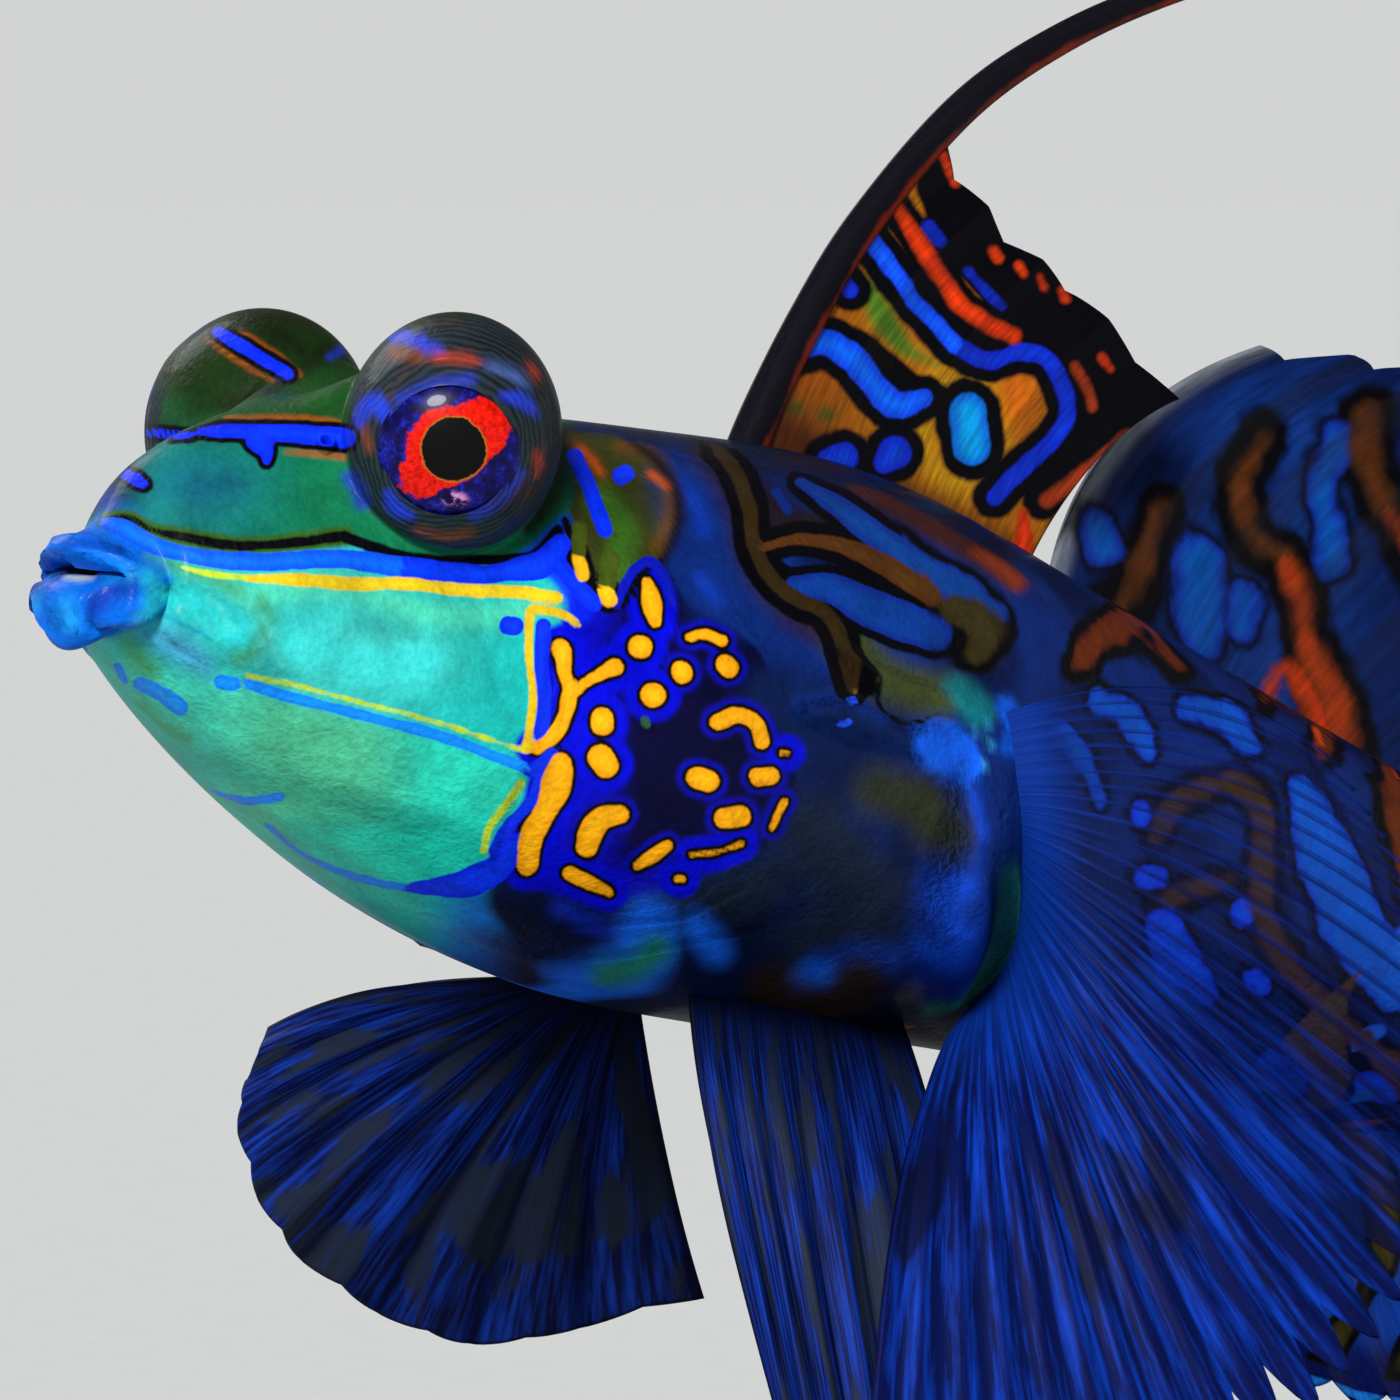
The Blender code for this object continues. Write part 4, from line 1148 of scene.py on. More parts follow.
# %% Ground colours
def ground_of_the_head(x, y):
    """Colours over the head, from eased steps across the photograph's plane."""
    line = smooth(x, FACE_LINE_X, FACE_LINE_Y)
    cheek = smooth(x, CHEEK_LINE_X, CHEEK_LINE_Y)
    jaw = smooth(x, JAW_X, JAW_Y)
    snout = laid_over(
        linear(SNOUT_TEAL),
        (SNOUT_GREEN, step((x - 190) / 150)),
        ("#12607c", bump(x, 205, 50) * bump(y, 486, 26) * 0.8),
        ("#18400f", step((450 - y) / 20) * 0.9),
        ("#10220a", step((400 - y) / 50) * 0.8),
        ("#171d09", step((352 - y) / 40) * step((x - 150) / 60) * 0.8),
        ("#06163a", step((168 - x) / 60) * step((535 - y) / 40) * 0.95),
    )
    face = laid_over(
        linear(TURQUOISE),
        ("#0aa8a0", step((x - 330) / 200) * 0.8),
        # a painted highlight on the cheek
        ("#4cb8ae", bump(x, 370, 80) * bump(y, 655, 34) * 0.6),
        ("#4fc79a", bump(y, line + 52, 16) * step((x - 180) / 80) * 0.6),
    )
    low = laid_over(
        linear("#3cc6ac"),
        (PALE_GREEN, step((x - 190) / 100)),
        ("#18c8b0", step((x - 350) / 90) * 0.85),
        ("#12c4ac", step((y - 795) / 45) * step((x - 240) / 60) * 0.8),
        ("#178878", bump(y, 790 + (x - 300) * 0.25, 16) * 0.5),
    )
    face = laid_over(
        blend_colours(face, low, step((y - cheek + 22) / 44)),
        ("#0d86c4", step((200 - x) / 90) * step((625 - y) / 50) * 0.7),
        ("#0a9496", step((y - jaw + 52) / 60) * 0.8),
        ("#052640", step((y - jaw + 15) / 60) * 0.8),
    )
    return laid_over(
        blend_colours(snout, face, step((y - line + 4) / 10)),
        ("#0b4fd8", step((y - 866) / 36) * step((x - 400) / 80) * 0.8),
        ("#050b34", step((y - 900) / 44) * step((x - 420) / 110)),
    )


def ground_of_the_body(place, turn):
    """Blue flank, darker back and belly, from the place along the skin and the turn."""
    clouds = np.sin(place * 1.3 + 0.06 * turn) * np.sin(place * 0.7 - 0.09 * turn + 1.2)
    return laid_over(
        linear(BODY_BLUE),
        ("#061640", step((turn - 30) / 50)),
        ("#030a26", step((-turn - 4) / 40) * 0.85),
        ("#020818", step((clouds + 0.15) * 1.6) * 0.6),
    )


CHEEK = np.array([400.0]), np.array([650.0])
print("cheek, linear:", np.round(ground_of_the_head(*CHEEK)[0], 2))

# %% [markdown]
# ## Stripes of the rear body
#
# Behind the gill cover the animal carries a maze of brown and orange bands with black
# edges. A wave whose phase is bent by slower waves gives bands that swell, fork and
# wander. The wave's height less a limit, over its slope, is a distance in millimetres.

# %% Maze bands
BAND_SPACING = 3.1
BAND_BORDER = 0.22
MM_PER_DEGREE = 0.062


def maze(u, v, spacing=BAND_SPACING):
    """Distance in mm to the edge of wandering bands over a flank unrolled to u and v."""
    bend = 0.34 * np.sin(u * 0.62 + 1.3 * np.sin(v * 0.55))
    bend = bend + 0.27 * np.sin(v * 1.05 - u * 0.33 + 0.8)
    phase = 2 * np.pi * ((u * 0.92 + v * 0.42) / spacing + bend)
    wave = np.sin(phase) + 0.45 * np.sin(v * 1.9 + u * 0.9 + 2.0 * np.sin(u * 0.4))
    return (0.62 - wave) * spacing / (2 * np.pi) * 0.8


def spots(u, v):
    """Distance to blue spots that sit between the bands, on a bent lattice."""
    a = u / 2.3 + 0.3 * np.sin(v * 1.1)
    b = v / 1.9 + 0.3 * np.sin(u * 0.9)
    a, b = a - np.round(a), b - np.round(b)
    return np.hypot(a * 2.3, b * 1.9) - 0.42


def add_rear_bands(layers, place, turn):
    """The maze and its spots, behind the photographed part and over back and belly."""
    unrolled = turn * MM_PER_DEGREE
    edges = step((np.abs(turn) - 60) / 8) * step((place - 17.0) / 1.5)
    rear = np.maximum(step((place - 28.6 - 0.03 * turn) / 1.2), edges)
    flank = maze(place, unrolled) + 3.0 * (1 - rear)
    dots = np.maximum(spots(place, unrolled), 0.15 - flank) + 3.0 * (1 - rear)
    share = step(np.sin(place * 0.9 + turn * 0.05))
    for layer, distance, ink in (
        ("warm", flank, laid_over(linear(OLIVE_BROWN), (ORANGE_BROWN, share))),
        ("dark", flank - BAND_BORDER, linear(BLACK)),
        ("cool", dots, linear("#1646c8")),
    ):
        best, inks = layers[layer]
        closer = distance < best
        best[closer], inks[closer] = distance[closer], np.broadcast_to(ink, inks.shape)[closer]


print("bands", BAND_SPACING, "mm apart, borders", BAND_BORDER, "mm")

# %% [markdown]
# ## The skin's own numbers
#
# Each point of the skin now gets its ground colour, its distances and inks, and its
# relief. A point on the far side that the camera doesn't see asks for the marks of the
# matching point on the near side, so both sides are dressed alike.


# %% The near side's match
def on_the_near_side(points):
    """The matching point on the near side, so the far side takes the same lines.

    The far eye looks another way, so near it the match is made in the eye's own axes.
    """
    plain = points * (1, -1, 1)
    centre_far, axes_far = eye_frame(-1)
    centre_near, axes_near = eye_frame(1)
    local = (points - centre_far) @ axes_far.T * (1, -1, 1)
    turned = centre_near + local @ axes_near
    share = step((3.4 - np.linalg.norm(points - centre_far, axis=-1)) / 1.2)[:, None]
    return np.where(points[:, 1:2] < 0, plain + (turned - plain) * share, points)


def facing_the_camera(points, normals):
    """The cosine between the skin's normal and the sight line, from straight points."""
    placed = posed(points)
    return (unit(posed(points + normals * 0.01) - placed) * unit(CAMERA_PLACE - placed)).sum(-1)


def eye_distance(points):
    """Millimetres off the gaze axis near the eyes, and that as a share of the lid's width.

    The lid is wide over the dome and behind, and narrow below: 1.98 + 0.45 up - 0.16
    down + 0.5 rearward.
    """
    out, shares = np.full(len(points), 9.0), np.full(len(points), 9.0)
    for side in (1, -1):
        centre, axes = eye_frame(side)
        local = (points - centre) @ axes.T * (1, side, 1)
        near = (local[:, 0] > -0.9) & (np.linalg.norm(local, axis=-1) < 2.6)
        plain = np.hypot(local[:, 1], local[:, 2])
        off = plain - 0.35 * np.minimum(local[:, 0] - 1.0, 0)
        up, rear = local[:, 2] / np.maximum(plain, 0.01), local[:, 1] / np.maximum(plain, 0.01)
        width = 1.98 + 0.45 * np.maximum(up, 0) - 0.16 * np.maximum(-up, 0)
        width = width + 0.5 * np.maximum(rear, 0)
        out = np.where(near, np.minimum(out, off), out)
        shares = np.where(near, np.minimum(shares, off / width), shares)
    return out, shares


FAR_CHEEK = np.array([[12.0, -5.0, 0.0]])
print("match of the far cheek:", on_the_near_side(FAR_CHEEK)[0])


# %% Numbers for the skin's finish
def skin_numbers(points, place, turn, normals, sight):
    """All the numbers and inks that the skin's shader reads, for each point."""
    own = facing_the_camera(points, normals)
    copied = on_the_near_side(points)
    flip = np.where(points[:, 1:2] < 0, np.array([[1.0, -1.0, 1.0]]), 1.0)
    share = np.where(points[:, 1] < 0, step((0.10 - own) / 0.08), 0.0)
    hidden = share > 0.5
    near = np.where(hidden[:, None], copied, points)
    facing = np.where(hidden, facing_the_camera(copied, normals * flip), own)
    pixels = seen_at(posed(near))
    x, y = pixels.T
    off, share_of_lid = eye_distance(points)
    lid = step((1.0 - share_of_lid) / 0.08)
    heads = [ground_of_the_head(*seen_at(posed(side)).T) for side in (points, copied)]
    head = laid_over(
        blend_colours(*heads, share),
        (LIP_BLUE, step((1.6 - place) / 0.5)),
        # painted shade: the inside of the mouth made almost black
        ("#0c1824", step((-0.25 - place) / 0.4)),
        ("#151b22", lid * 0.97),
    )
    behind = step((x - smooth(y, GILL_FRONT_Y, GILL_FRONT_X)) / 22) * step((place - 6.6) / 1.0)
    behind = np.maximum(behind, step((place - 11.5) / 2))
    colour = blend_colours(head, ground_of_the_body(place, turn), behind)
    seen = step((facing - 0.02) / 0.1) * (place < 20)
    bright = np.maximum(step((640 - x) / 60), step((y - 850) / 30)) * 0.85
    cover = laid_over(linear(NAVY), ("#0707c8", bright))
    colour = blend_colours(colour, cover, step(-(inside(GILL_COVER, pixels) - 2) / 5) * seen)
    olive = step(-(inside(OLIVE_PATCH, pixels) - 2) / 6) * seen
    colour = laid_over(colour, (DARK_OLIVE, olive))
    colour = lay_patches(colour, PATCHES, pixels, near, facing, sight)
    layers = draw(FACE_LINES + GILL_SPOTS + FLANK_LINES, pixels, near, facing, sight)
    add_rear_bands(layers, place, turn)
    lift = relief(pixels, near, facing, sight)
    numbers = {"ground": colour, "lid": off, "lid_cover": lid, "lift": lift}
    for name, (distance, ink) in layers.items():
        numbers[name + "_edge"] = np.clip(distance, -1, 1)
        numbers[name + "_ink"] = ink
    return numbers


# %% [markdown]
# ## Head and body skins
#
# The skin is made in two lengths, because the head needs finer steps: its grid gathers
# round the lips and eyes. The body's first ring is the head's last one, point for
# point, so the joint can't be seen. Nostrils and lids are short sheets of their own.

# %% Normals and ends
PLACE_STEP, ANGLE_STEP = 0.01, 0.004
HEAD_ROWS, HEAD_COLUMNS, BODY_ROWS = 212, 440, 290
SKIN_JOINT = 15.8
NOSTRIL_AT, NOSTRIL_DEGREES = 4.15, {1: 44.0, -1: 136.0}


def surface_normals(place, angle, socket):
    """Normals of the straight skin: across the grid's two directions by small steps."""
    e, t = PLACE_STEP, ANGLE_STEP
    along = skin(place + e, angle, socket) - skin(place - e, angle, socket)
    around = skin(place, angle + t, socket) - skin(place, angle - t, socket)
    return unit(np.cross(around, along))


def sheet_normals(points):
    """Normals of a grid of rings from its own neighbours."""
    ring = np.concatenate([points[:, -1:], points, points[:, :1]], 1)
    return unit(np.cross(ring[:, 2:] - ring[:, :-2], np.gradient(points, axis=0)))


def nostril_rings(side, around=20):
    """A short tube with a rolled edge and a hollow, stood on the snout."""
    foot, top = (on_skin(NOSTRIL_AT, NOSTRIL_DEGREES[side], lift) for lift in (-0.12, 0.20))
    way = unit(top - foot)
    aside = unit(np.cross(way, (0.0, 0.0, 1.0)))
    wide = np.array([0.24, 0.18, 0.155, 0.15, 0.125, 0.085, 0.05])[:, None]
    high = np.array([0.0, 0.45, 0.8, 1.0, 1.04, 0.9, 0.35])[:, None]
    turn = np.linspace(0, 2 * np.pi, around, endpoint=False)[None]
    ring = np.cos(turn)[..., None] * aside + np.sin(turn)[..., None] * np.cross(way, aside)
    return foot + high[..., None] * (top - foot) + wide[..., None] * ring


def closed_ends(points, faces, rows, columns):
    """Fans that close the first and last ring, with a point in the middle of each."""
    j = np.arange(columns)
    k = (j + 1) % columns
    count, last = len(points), (rows - 1) * columns
    middle = np.stack([points[:columns].mean(0), points[last : last + columns].mean(0)])
    fans = [
        np.stack([np.full(columns, count), j, k], -1),
        np.stack([np.full(columns, count + 1), last + k, last + j], -1),
    ]
    return np.vstack([points, middle]), np.vstack([faces] + fans)


print("points of a nostril:", nostril_rings(1).size // 3)


# %% Grid of the head
def head_grid():
    """The head's points, triangles, places, turns and normals, with lids and nostrils."""
    degrees = spread(0.0, 360.0, HEAD_COLUMNS + 1, EYE_SIDES)[:-1]
    rows = spread(SKIN_START, SKIN_JOINT, HEAD_ROWS, ((0.6, 1.0, 0.9), (6.45, 1.4, 0.8)))
    place, angle = np.broadcast_arrays(rows[:, None], np.radians(degrees)[None])
    points = skin(place, angle, SOCKET_DEPTH).reshape(-1, 3)
    normals = surface_normals(place, angle, SOCKET_DEPTH).reshape(-1, 3)
    turn = np.degrees(np.arcsin(np.sin(angle))).ravel()
    faces = grid_faces(HEAD_ROWS, HEAD_COLUMNS, True)
    points, faces = closed_ends(points, faces, HEAD_ROWS, HEAD_COLUMNS)
    normals = np.vstack([normals, [[1, 0, 0], [1, 0, 0]]])
    place = np.concatenate([place.ravel(), [SKIN_START, SKIN_JOINT]])
    turn = np.concatenate([turn, [0, 0]])
    for side in (1, -1):
        nostril = on_skin(NOSTRIL_AT, NOSTRIL_DEGREES[side], -0.5)
        for ring, middle, at, level in (
            (lid_ring(side), eye_frame(side)[0], 6.5, 40.0),
            (nostril_rings(side), nostril, 5.1, 44.0),
        ):
            way = sheet_normals(ring)
            turned = np.sign((way * (ring - middle)).sum(-1).mean())
            more = grid_faces(*ring.shape[:2], True, len(points))
            faces = np.vstack([faces, more if turned > 0 else more[:, ::-1]])
            points = np.vstack([points, ring.reshape(-1, 3)])
            normals = np.vstack([normals, (way * turned).reshape(-1, 3)])
            size = ring.shape[0] * ring.shape[1]
            place = np.concatenate([place, np.full(size, at)])
            turn = np.concatenate([turn, np.full(size, level)])
    return points, faces, place, turn, normals


head_parts = head_grid()
print("head points:", len(head_parts[0]))


# %% Grid of the body
def body_grid():
    """The body behind the head: its first ring is the head's last, then half as many."""
    degrees = spread(0.0, 360.0, HEAD_COLUMNS + 1, EYE_SIDES)[:-1]
    half = HEAD_COLUMNS // 2
    rows = np.linspace(SKIN_JOINT, STEM_END + TAIL_ROUNDING * 0.985, BODY_ROWS)[1:]
    fine = (np.full(HEAD_COLUMNS, SKIN_JOINT), np.radians(degrees))
    coarse = np.broadcast_arrays(rows[:, None], np.radians(degrees[::2])[None])
    place = np.concatenate([fine[0], coarse[0].ravel()])
    angle = np.concatenate([fine[1], coarse[1].ravel()])
    points = skin(place, angle)
    normals = surface_normals(place, angle, 0.0)
    j = np.arange(half)
    k0, k1, k2 = 2 * j, 2 * j + 1, (2 * j + 2) % HEAD_COLUMNS
    c0, c1 = HEAD_COLUMNS + j, HEAD_COLUMNS + (j + 1) % half
    faces = np.vstack(
        [np.stack(t, -1) for t in ((k0, c0, k1), (k1, c0, c1), (k1, c1, k2))]
        + [grid_faces(BODY_ROWS - 1, half, True, HEAD_COLUMNS)]
    )
    count = len(points)
    i = np.arange(HEAD_COLUMNS)
    last = HEAD_COLUMNS + (BODY_ROWS - 2) * half
    faces = np.vstack([
        faces,
        np.stack([np.full(HEAD_COLUMNS, count), i, (i + 1) % HEAD_COLUMNS], -1),
        np.stack([np.full(half, count + 1), last + (j + 1) % half, last + j], -1),
    ])
    ends = np.stack([points[:HEAD_COLUMNS].mean(0), points[last:].mean(0)])
    turn = np.degrees(np.arcsin(np.sin(angle)))
    return (
        np.vstack([points, ends]), faces, np.concatenate([place, [SKIN_JOINT, STEM_END]]),
        np.concatenate([turn, [0, 0]]), np.vstack([normals, [[-1, 0, 0], [1, 0, 0]]]),
    )


body_parts = body_grid()
print("body points:", len(body_parts[0]))


# %% The two lengths of skin
def corner_normals(points, faces):
    """The normal at each point: the sum of its triangles' own, by their area."""
    a, b, c = (points[faces[:, k]] for k in range(3))
    own = np.cross(b - a, c - a)
    total = np.stack([
        sum(np.bincount(faces[:, k], own[:, axis], len(points)) for k in range(3))
        for axis in range(3)
    ], -1)
    return unit(total + 1e-12)


def skin_piece(name, grid, sight, nodes):
    """A length of skin as a piece that stands for some nodes, with its numbers.

    The relief moves each point along its normal, and turns the normal by as much as it
    turned the triangles round the point.
    """
    points, faces, place, turn, normals = grid
    numbers = skin_numbers(points, place, turn, normals, sight)
    moved = points + normals * numbers.pop("lift")[:, None]
    turned = corner_normals(moved, faces) - corner_normals(points, faces)
    piece = mesh_piece(name, posed(moved), faces, numbers)
    normals = unit(normals + turned)
    ways = unit(posed(moved + normals * 0.01) - posed(moved))
    piece.data.normals_split_custom_set_from_vertices(ways.tolist())
    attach(piece, "root")
    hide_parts(*nodes)
    return piece


sight = Sight(
    np.vstack([head_parts[0], body_parts[0]]),
    np.vstack([head_parts[1], body_parts[1] + len(head_parts[0])]),
)
print("mouth seen at", np.round(seen_at(posed(np.zeros(3))[None])[0]))
head_skin = skin_piece("head_skin", head_parts, sight, ["head"])
body_skin = skin_piece("body_skin", body_parts, sight, ["torso", "tail_stem"])
print("head triangles", len(head_parts[1]), "body triangles", len(body_parts[1]))

# %% [markdown]
# ## Adding nodes
#
# A finish is a tree of nodes. One small function adds any node with its settings and
# links. Noise scales are per metre, because the pieces are in metres, and a scale of 1
# per millimetre gives blotches about a millimetre apart.

# %% A node with its settings and links
PER_METRE = 1000.0


def node_adder(tree):
    """The function that adds a node to this tree.

    Inputs are a row in the node's own order or a dictionary by name. Each is a value,
    another node, whose first output is meant, or one of its output sockets.
    """

    def add(kind, inputs=(), **settings):
        node = tree.nodes.new(kind)
        for key, value in settings.items():
            setattr(node, key, value)
        for key, value in inputs.items() if isinstance(inputs, dict) else enumerate(inputs):
            if isinstance(value, bpy.types.Node):
                value = value.outputs[0]
            if isinstance(value, bpy.types.NodeSocket):
                tree.links.new(value, node.inputs[key])
            else:
                node.inputs[key].default_value = value
        return node

    return add


def new_finish(name):
    """An empty node material and the function that adds nodes to it."""
    finish = bpy.data.materials.new(name)
    finish.use_nodes = True
    finish.node_tree.nodes.clear()
    return finish, node_adder(finish.node_tree)


def rgba(code):
    """A hex colour for a colour socket."""
    return (*linear(code), 1.0)


def ramp_colours(ramp, *stops):
    """Sets a colour ramp's stops, each a position and a hex colour, first and last first."""
    for element, (position, code) in zip(ramp.elements, stops):
        element.position, element.color = position, rgba(code)
    for position, code in stops[2:]:
        ramp.elements.new(position).color = rgba(code)


print("rust, linear:", np.round(rgba("#5a3014"), 3))

# %% [markdown]
# ## Inks on the ground colour
#
# The nodes stack the inks on the ground colour in the order of the real skin's layers:
# halo, black, blue and gold. Fine noise shifts each edge a few hundredths of a
# millimetre, as in a real mark. A picture wrapped round the fish could do the same, but
# it would blur close up, and a distance stays sharp.

# %% Inks
LAYER_BLURS = {"halo": 5.0, "dark": 1.8, "cool": 1.2, "warm": 1.8}
CORE_STARTS = 0.02


def inked(add, place, ragged_by, ragged_scale, blur, cores, depth):
    """The ground colour with each ink laid on where its edge distance is below zero.

    Noise moves the edges by up to ragged_by mm. Marks are lighter inside: from their
    edge to a depth in mm a layer's ink is multiplied by its core's red, green and blue.
    """
    ragged = add(
        "ShaderNodeTexNoise", {"Vector": place, "Scale": ragged_scale * PER_METRE, "Detail": 4.0}
    )
    wobble = add("ShaderNodeMapRange", (ragged, 0.25, 0.75, -ragged_by, ragged_by))
    colour = add("ShaderNodeAttribute", attribute_name="ground")
    for name, share in LAYER_BLURS.items():
        edge = add("ShaderNodeAttribute", attribute_name=name + "_edge").outputs["Fac"]
        ink = add("ShaderNodeAttribute", attribute_name=name + "_ink")
        moved = add("ShaderNodeMath", (edge, wobble), operation="ADD")
        cut = add(
            "ShaderNodeMapRange", (moved, -blur * share, blur * share, 1.0, 0.0),
            interpolation_type="SMOOTHSTEP",
        )
        if name in cores:
            inner = add(
                "ShaderNodeMapRange", (moved, -CORE_STARTS, -depth), interpolation_type="SMOOTHSTEP"
            )
            light = add("ShaderNodeVectorMath", (ink, cores[name]), operation="MULTIPLY")
            ink = add("ShaderNodeMix", {0: inner, 6: ink, 7: light}, data_type="RGBA").outputs[2]
        colour = add("ShaderNodeMix", {0: cut, 6: colour, 7: ink}, data_type="RGBA").outputs[2]
    return colour


print("edge blurs by layer:", LAYER_BLURS)

# %% [markdown]
# ## Wet skin
#
# The animal is coated in clear slime, so its skin has a soft base and a thin clear
# coat over it. Broad noise mottles the colour and fine noise specks it. The bump is
# skin grain of about 0.1 mm with longer wrinkles, and rings on the lids, which are
# also paler and rustier. On the flank, which the photograph shows less sharply, the
# marks have softer and more ragged edges than on the head.

# %% Slime-coated skin
SKIN_CORES = {"cool": (0.8, 1.7, 1.05), "warm": (1.1, 1.28, 1.2)}
LID_RINGS_PER_MM = 62.0 / (2 * math.pi)


def wet_skin(name, ragged_by, ragged_scale, blur):
    """Skin under slime: IOR 1.38, coat 1.33 like water; grain 0.1 mm, mottling 0.5 mm."""
    finish, add = new_finish(name)
    place = add("ShaderNodeTexCoord").outputs["Object"]
    colour = inked(add, place, ragged_by, ragged_scale, blur, SKIN_CORES, 0.16)
    mottle = add(
        "ShaderNodeTexNoise",
        {"Vector": place, "Scale": 1.1 * PER_METRE, "Detail": 6.0, "Roughness": 0.62},
    )
    grain = add("ShaderNodeTexNoise", {"Vector": place, "Scale": 9.0 * PER_METRE, "Detail": 3.0})
    shade = add("ShaderNodeMapRange", (mottle, 0.3, 0.7, 0.68, 1.22))
    speck = add("ShaderNodeMapRange", (grain, 0.3, 0.7, 0.88, 1.1))
    both = add("ShaderNodeMath", (shade, speck), operation="MULTIPLY")
    colour = add("ShaderNodeVectorMath", {0: colour, "Scale": both}, operation="SCALE")
    off, on_lid = (
        add("ShaderNodeAttribute", attribute_name=n).outputs["Fac"] for n in ("lid", "lid_cover")
    )
    bent = add("ShaderNodeTexNoise", {"Vector": place, "Scale": 0.9 * PER_METRE, "Detail": 2.0})
    rings = add("ShaderNodeMath", (bent, 0.55, off), operation="MULTIPLY_ADD")
    rings = add("ShaderNodeMath", (rings, 2 * math.pi * LID_RINGS_PER_MM), operation="MULTIPLY")
    rings = add("ShaderNodeMath", (rings,), operation="SINE")
    patch = add(
        "ShaderNodeTexNoise",
        {"Vector": place, "Scale": 0.75 * PER_METRE, "Detail": 4.0, "Roughness": 0.7},
    )
    pale = add("ShaderNodeMapRange", (rings, -1.0, 1.0, 0.0, 0.2))
    rust = add("ShaderNodeMapRange", (patch, 0.58, 0.72, 0.0, 0.45))
    for share, code in ((pale, "#46585e"), (rust, "#5a3014")):
        share = add("ShaderNodeMath", (share, on_lid), operation="MULTIPLY")
        colour = add("ShaderNodeMix", {0: share, 6: colour, 7: rgba(code)}, data_type="RGBA")
        colour = colour.outputs[2]
    ridges = add("ShaderNodeMath", (rings, on_lid), operation="MULTIPLY")
    wrinkle = add(
        "ShaderNodeTexNoise",
        {"Vector": place, "Scale": 1.7 * PER_METRE, "Detail": 5.0, "Roughness": 0.55,
         "Distortion": 1.4},
    )
    high = add("ShaderNodeMath", (wrinkle, 1.6, grain), operation="MULTIPLY_ADD")
    high = add("ShaderNodeMath", (ridges, 0.13, high), operation="MULTIPLY_ADD")
    bumped = add("ShaderNodeBump", {"Height": high, "Strength": 0.55, "Distance": 0.045 * MM})
    shader = add("ShaderNodeBsdfPrincipled", {
        "Base Color": colour, "Roughness": add("ShaderNodeMapRange", (mottle, 0.3, 0.7, 0.42, 0.6)),
        "IOR": 1.38, "Specular IOR Level": 0.08, "Coat Weight": 0.08, "Coat Roughness": 0.14,
        "Coat IOR": 1.33, "Normal": bumped,
    })
    add("ShaderNodeOutputMaterial", {"Surface": shader.outputs[0]})
    return finish


head_skin.data.materials.append(wet_skin("slime_coated_skin", 0.02, 2.6, 0.014))
body_skin.data.materials.append(wet_skin("slime_coated_flank", 0.11, 1.2, 0.04))
print("skin nodes:", len(head_skin.active_material.node_tree.nodes))

# %% [markdown]
# ## Eyes
#
# The eye is a flat lens of clear cornea over a red-orange iris, with a black pupil and
# a fine gold ring between them; blue skin shows round the iris. A polar grid gives
# one smooth dome. The rings are drawn by the distance from the gaze axis, which the
# grid stores in millimetres, so they stay round and sharp.

# %% Eye
PUPIL_RADIUS = 0.545
PUPIL_SHIFT = (0.08, 0.055)
IRIS_TURN = (7, 32, 47, 70, 97, 138, 198, 222, 241, 264, 300, 350)
IRIS_REACH = (0.80, 1.12, 1.16, 0.94, 0.72, 0.78, 0.84, 1.14, 1.08, 0.66, 0.58, 0.60)
CORNEA_RADIUS, CORNEA_DEPTH = 1.26, 0.52


def eye_piece(name, side, node, rings=70, around=120):
    """A flattened ball: radius sin(t) out from the gaze axis, depth cos(t) along it."""
    centre, axes = eye_frame(side)
    seat = centre + axes[0] * (DOME_RADII[0] - CORNEA_DEPTH)
    t = np.concatenate([np.linspace(0.004, 1.75, rings), np.linspace(1.9, np.pi - 0.01, 10)])
    t = t[:, None]
    turn = np.linspace(0, 2 * np.pi, around, endpoint=False)[None]
    out, deep = CORNEA_RADIUS * np.sin(t), CORNEA_DEPTH * np.cos(t)
    a, b = out * np.cos(turn), out * np.sin(turn)
    points = seat + np.stack([deep + 0 * turn, a, b], -1) @ axes
    rows, front = len(t), t < np.pi / 2
    flat = posed(points).reshape(-1, 3)
    flat, faces = closed_ends(flat, grid_faces(rows, around, True), rows, around)
    across, up = side * a - PUPIL_SHIFT[0], b - PUPIL_SHIFT[1]
    off = np.hypot(across, up)
    reach = np.interp(np.degrees(np.arctan2(up, across)), IRIS_TURN, IRIS_REACH, period=360)
    blot = step((0.30 - np.hypot(across - 0.12, (up + 0.86) * 1.6)) / 0.2)
    numbers = {
        label: np.append(np.broadcast_to(values, a.shape).ravel(), ends)
        for label, values, ends in (
            ("off_axis", np.where(front, off, 2.0), (0, 2)),
            ("iris", np.where(front, off / reach, 3.0), (0, 3)),
            ("pale", np.where(front, blot, 0.0), (0, 0)),
            ("fibre", np.cos(turn), (1, 1)),
            ("fibre_b", np.sin(turn), (0, 0)),
        )
    }
    piece = mesh_piece(name, flat, faces, numbers)
    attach(piece, "root")
    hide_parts(node)
    return piece


print("pupil", 2 * PUPIL_RADIUS, "mm across, eye", 2 * CORNEA_RADIUS, "mm")


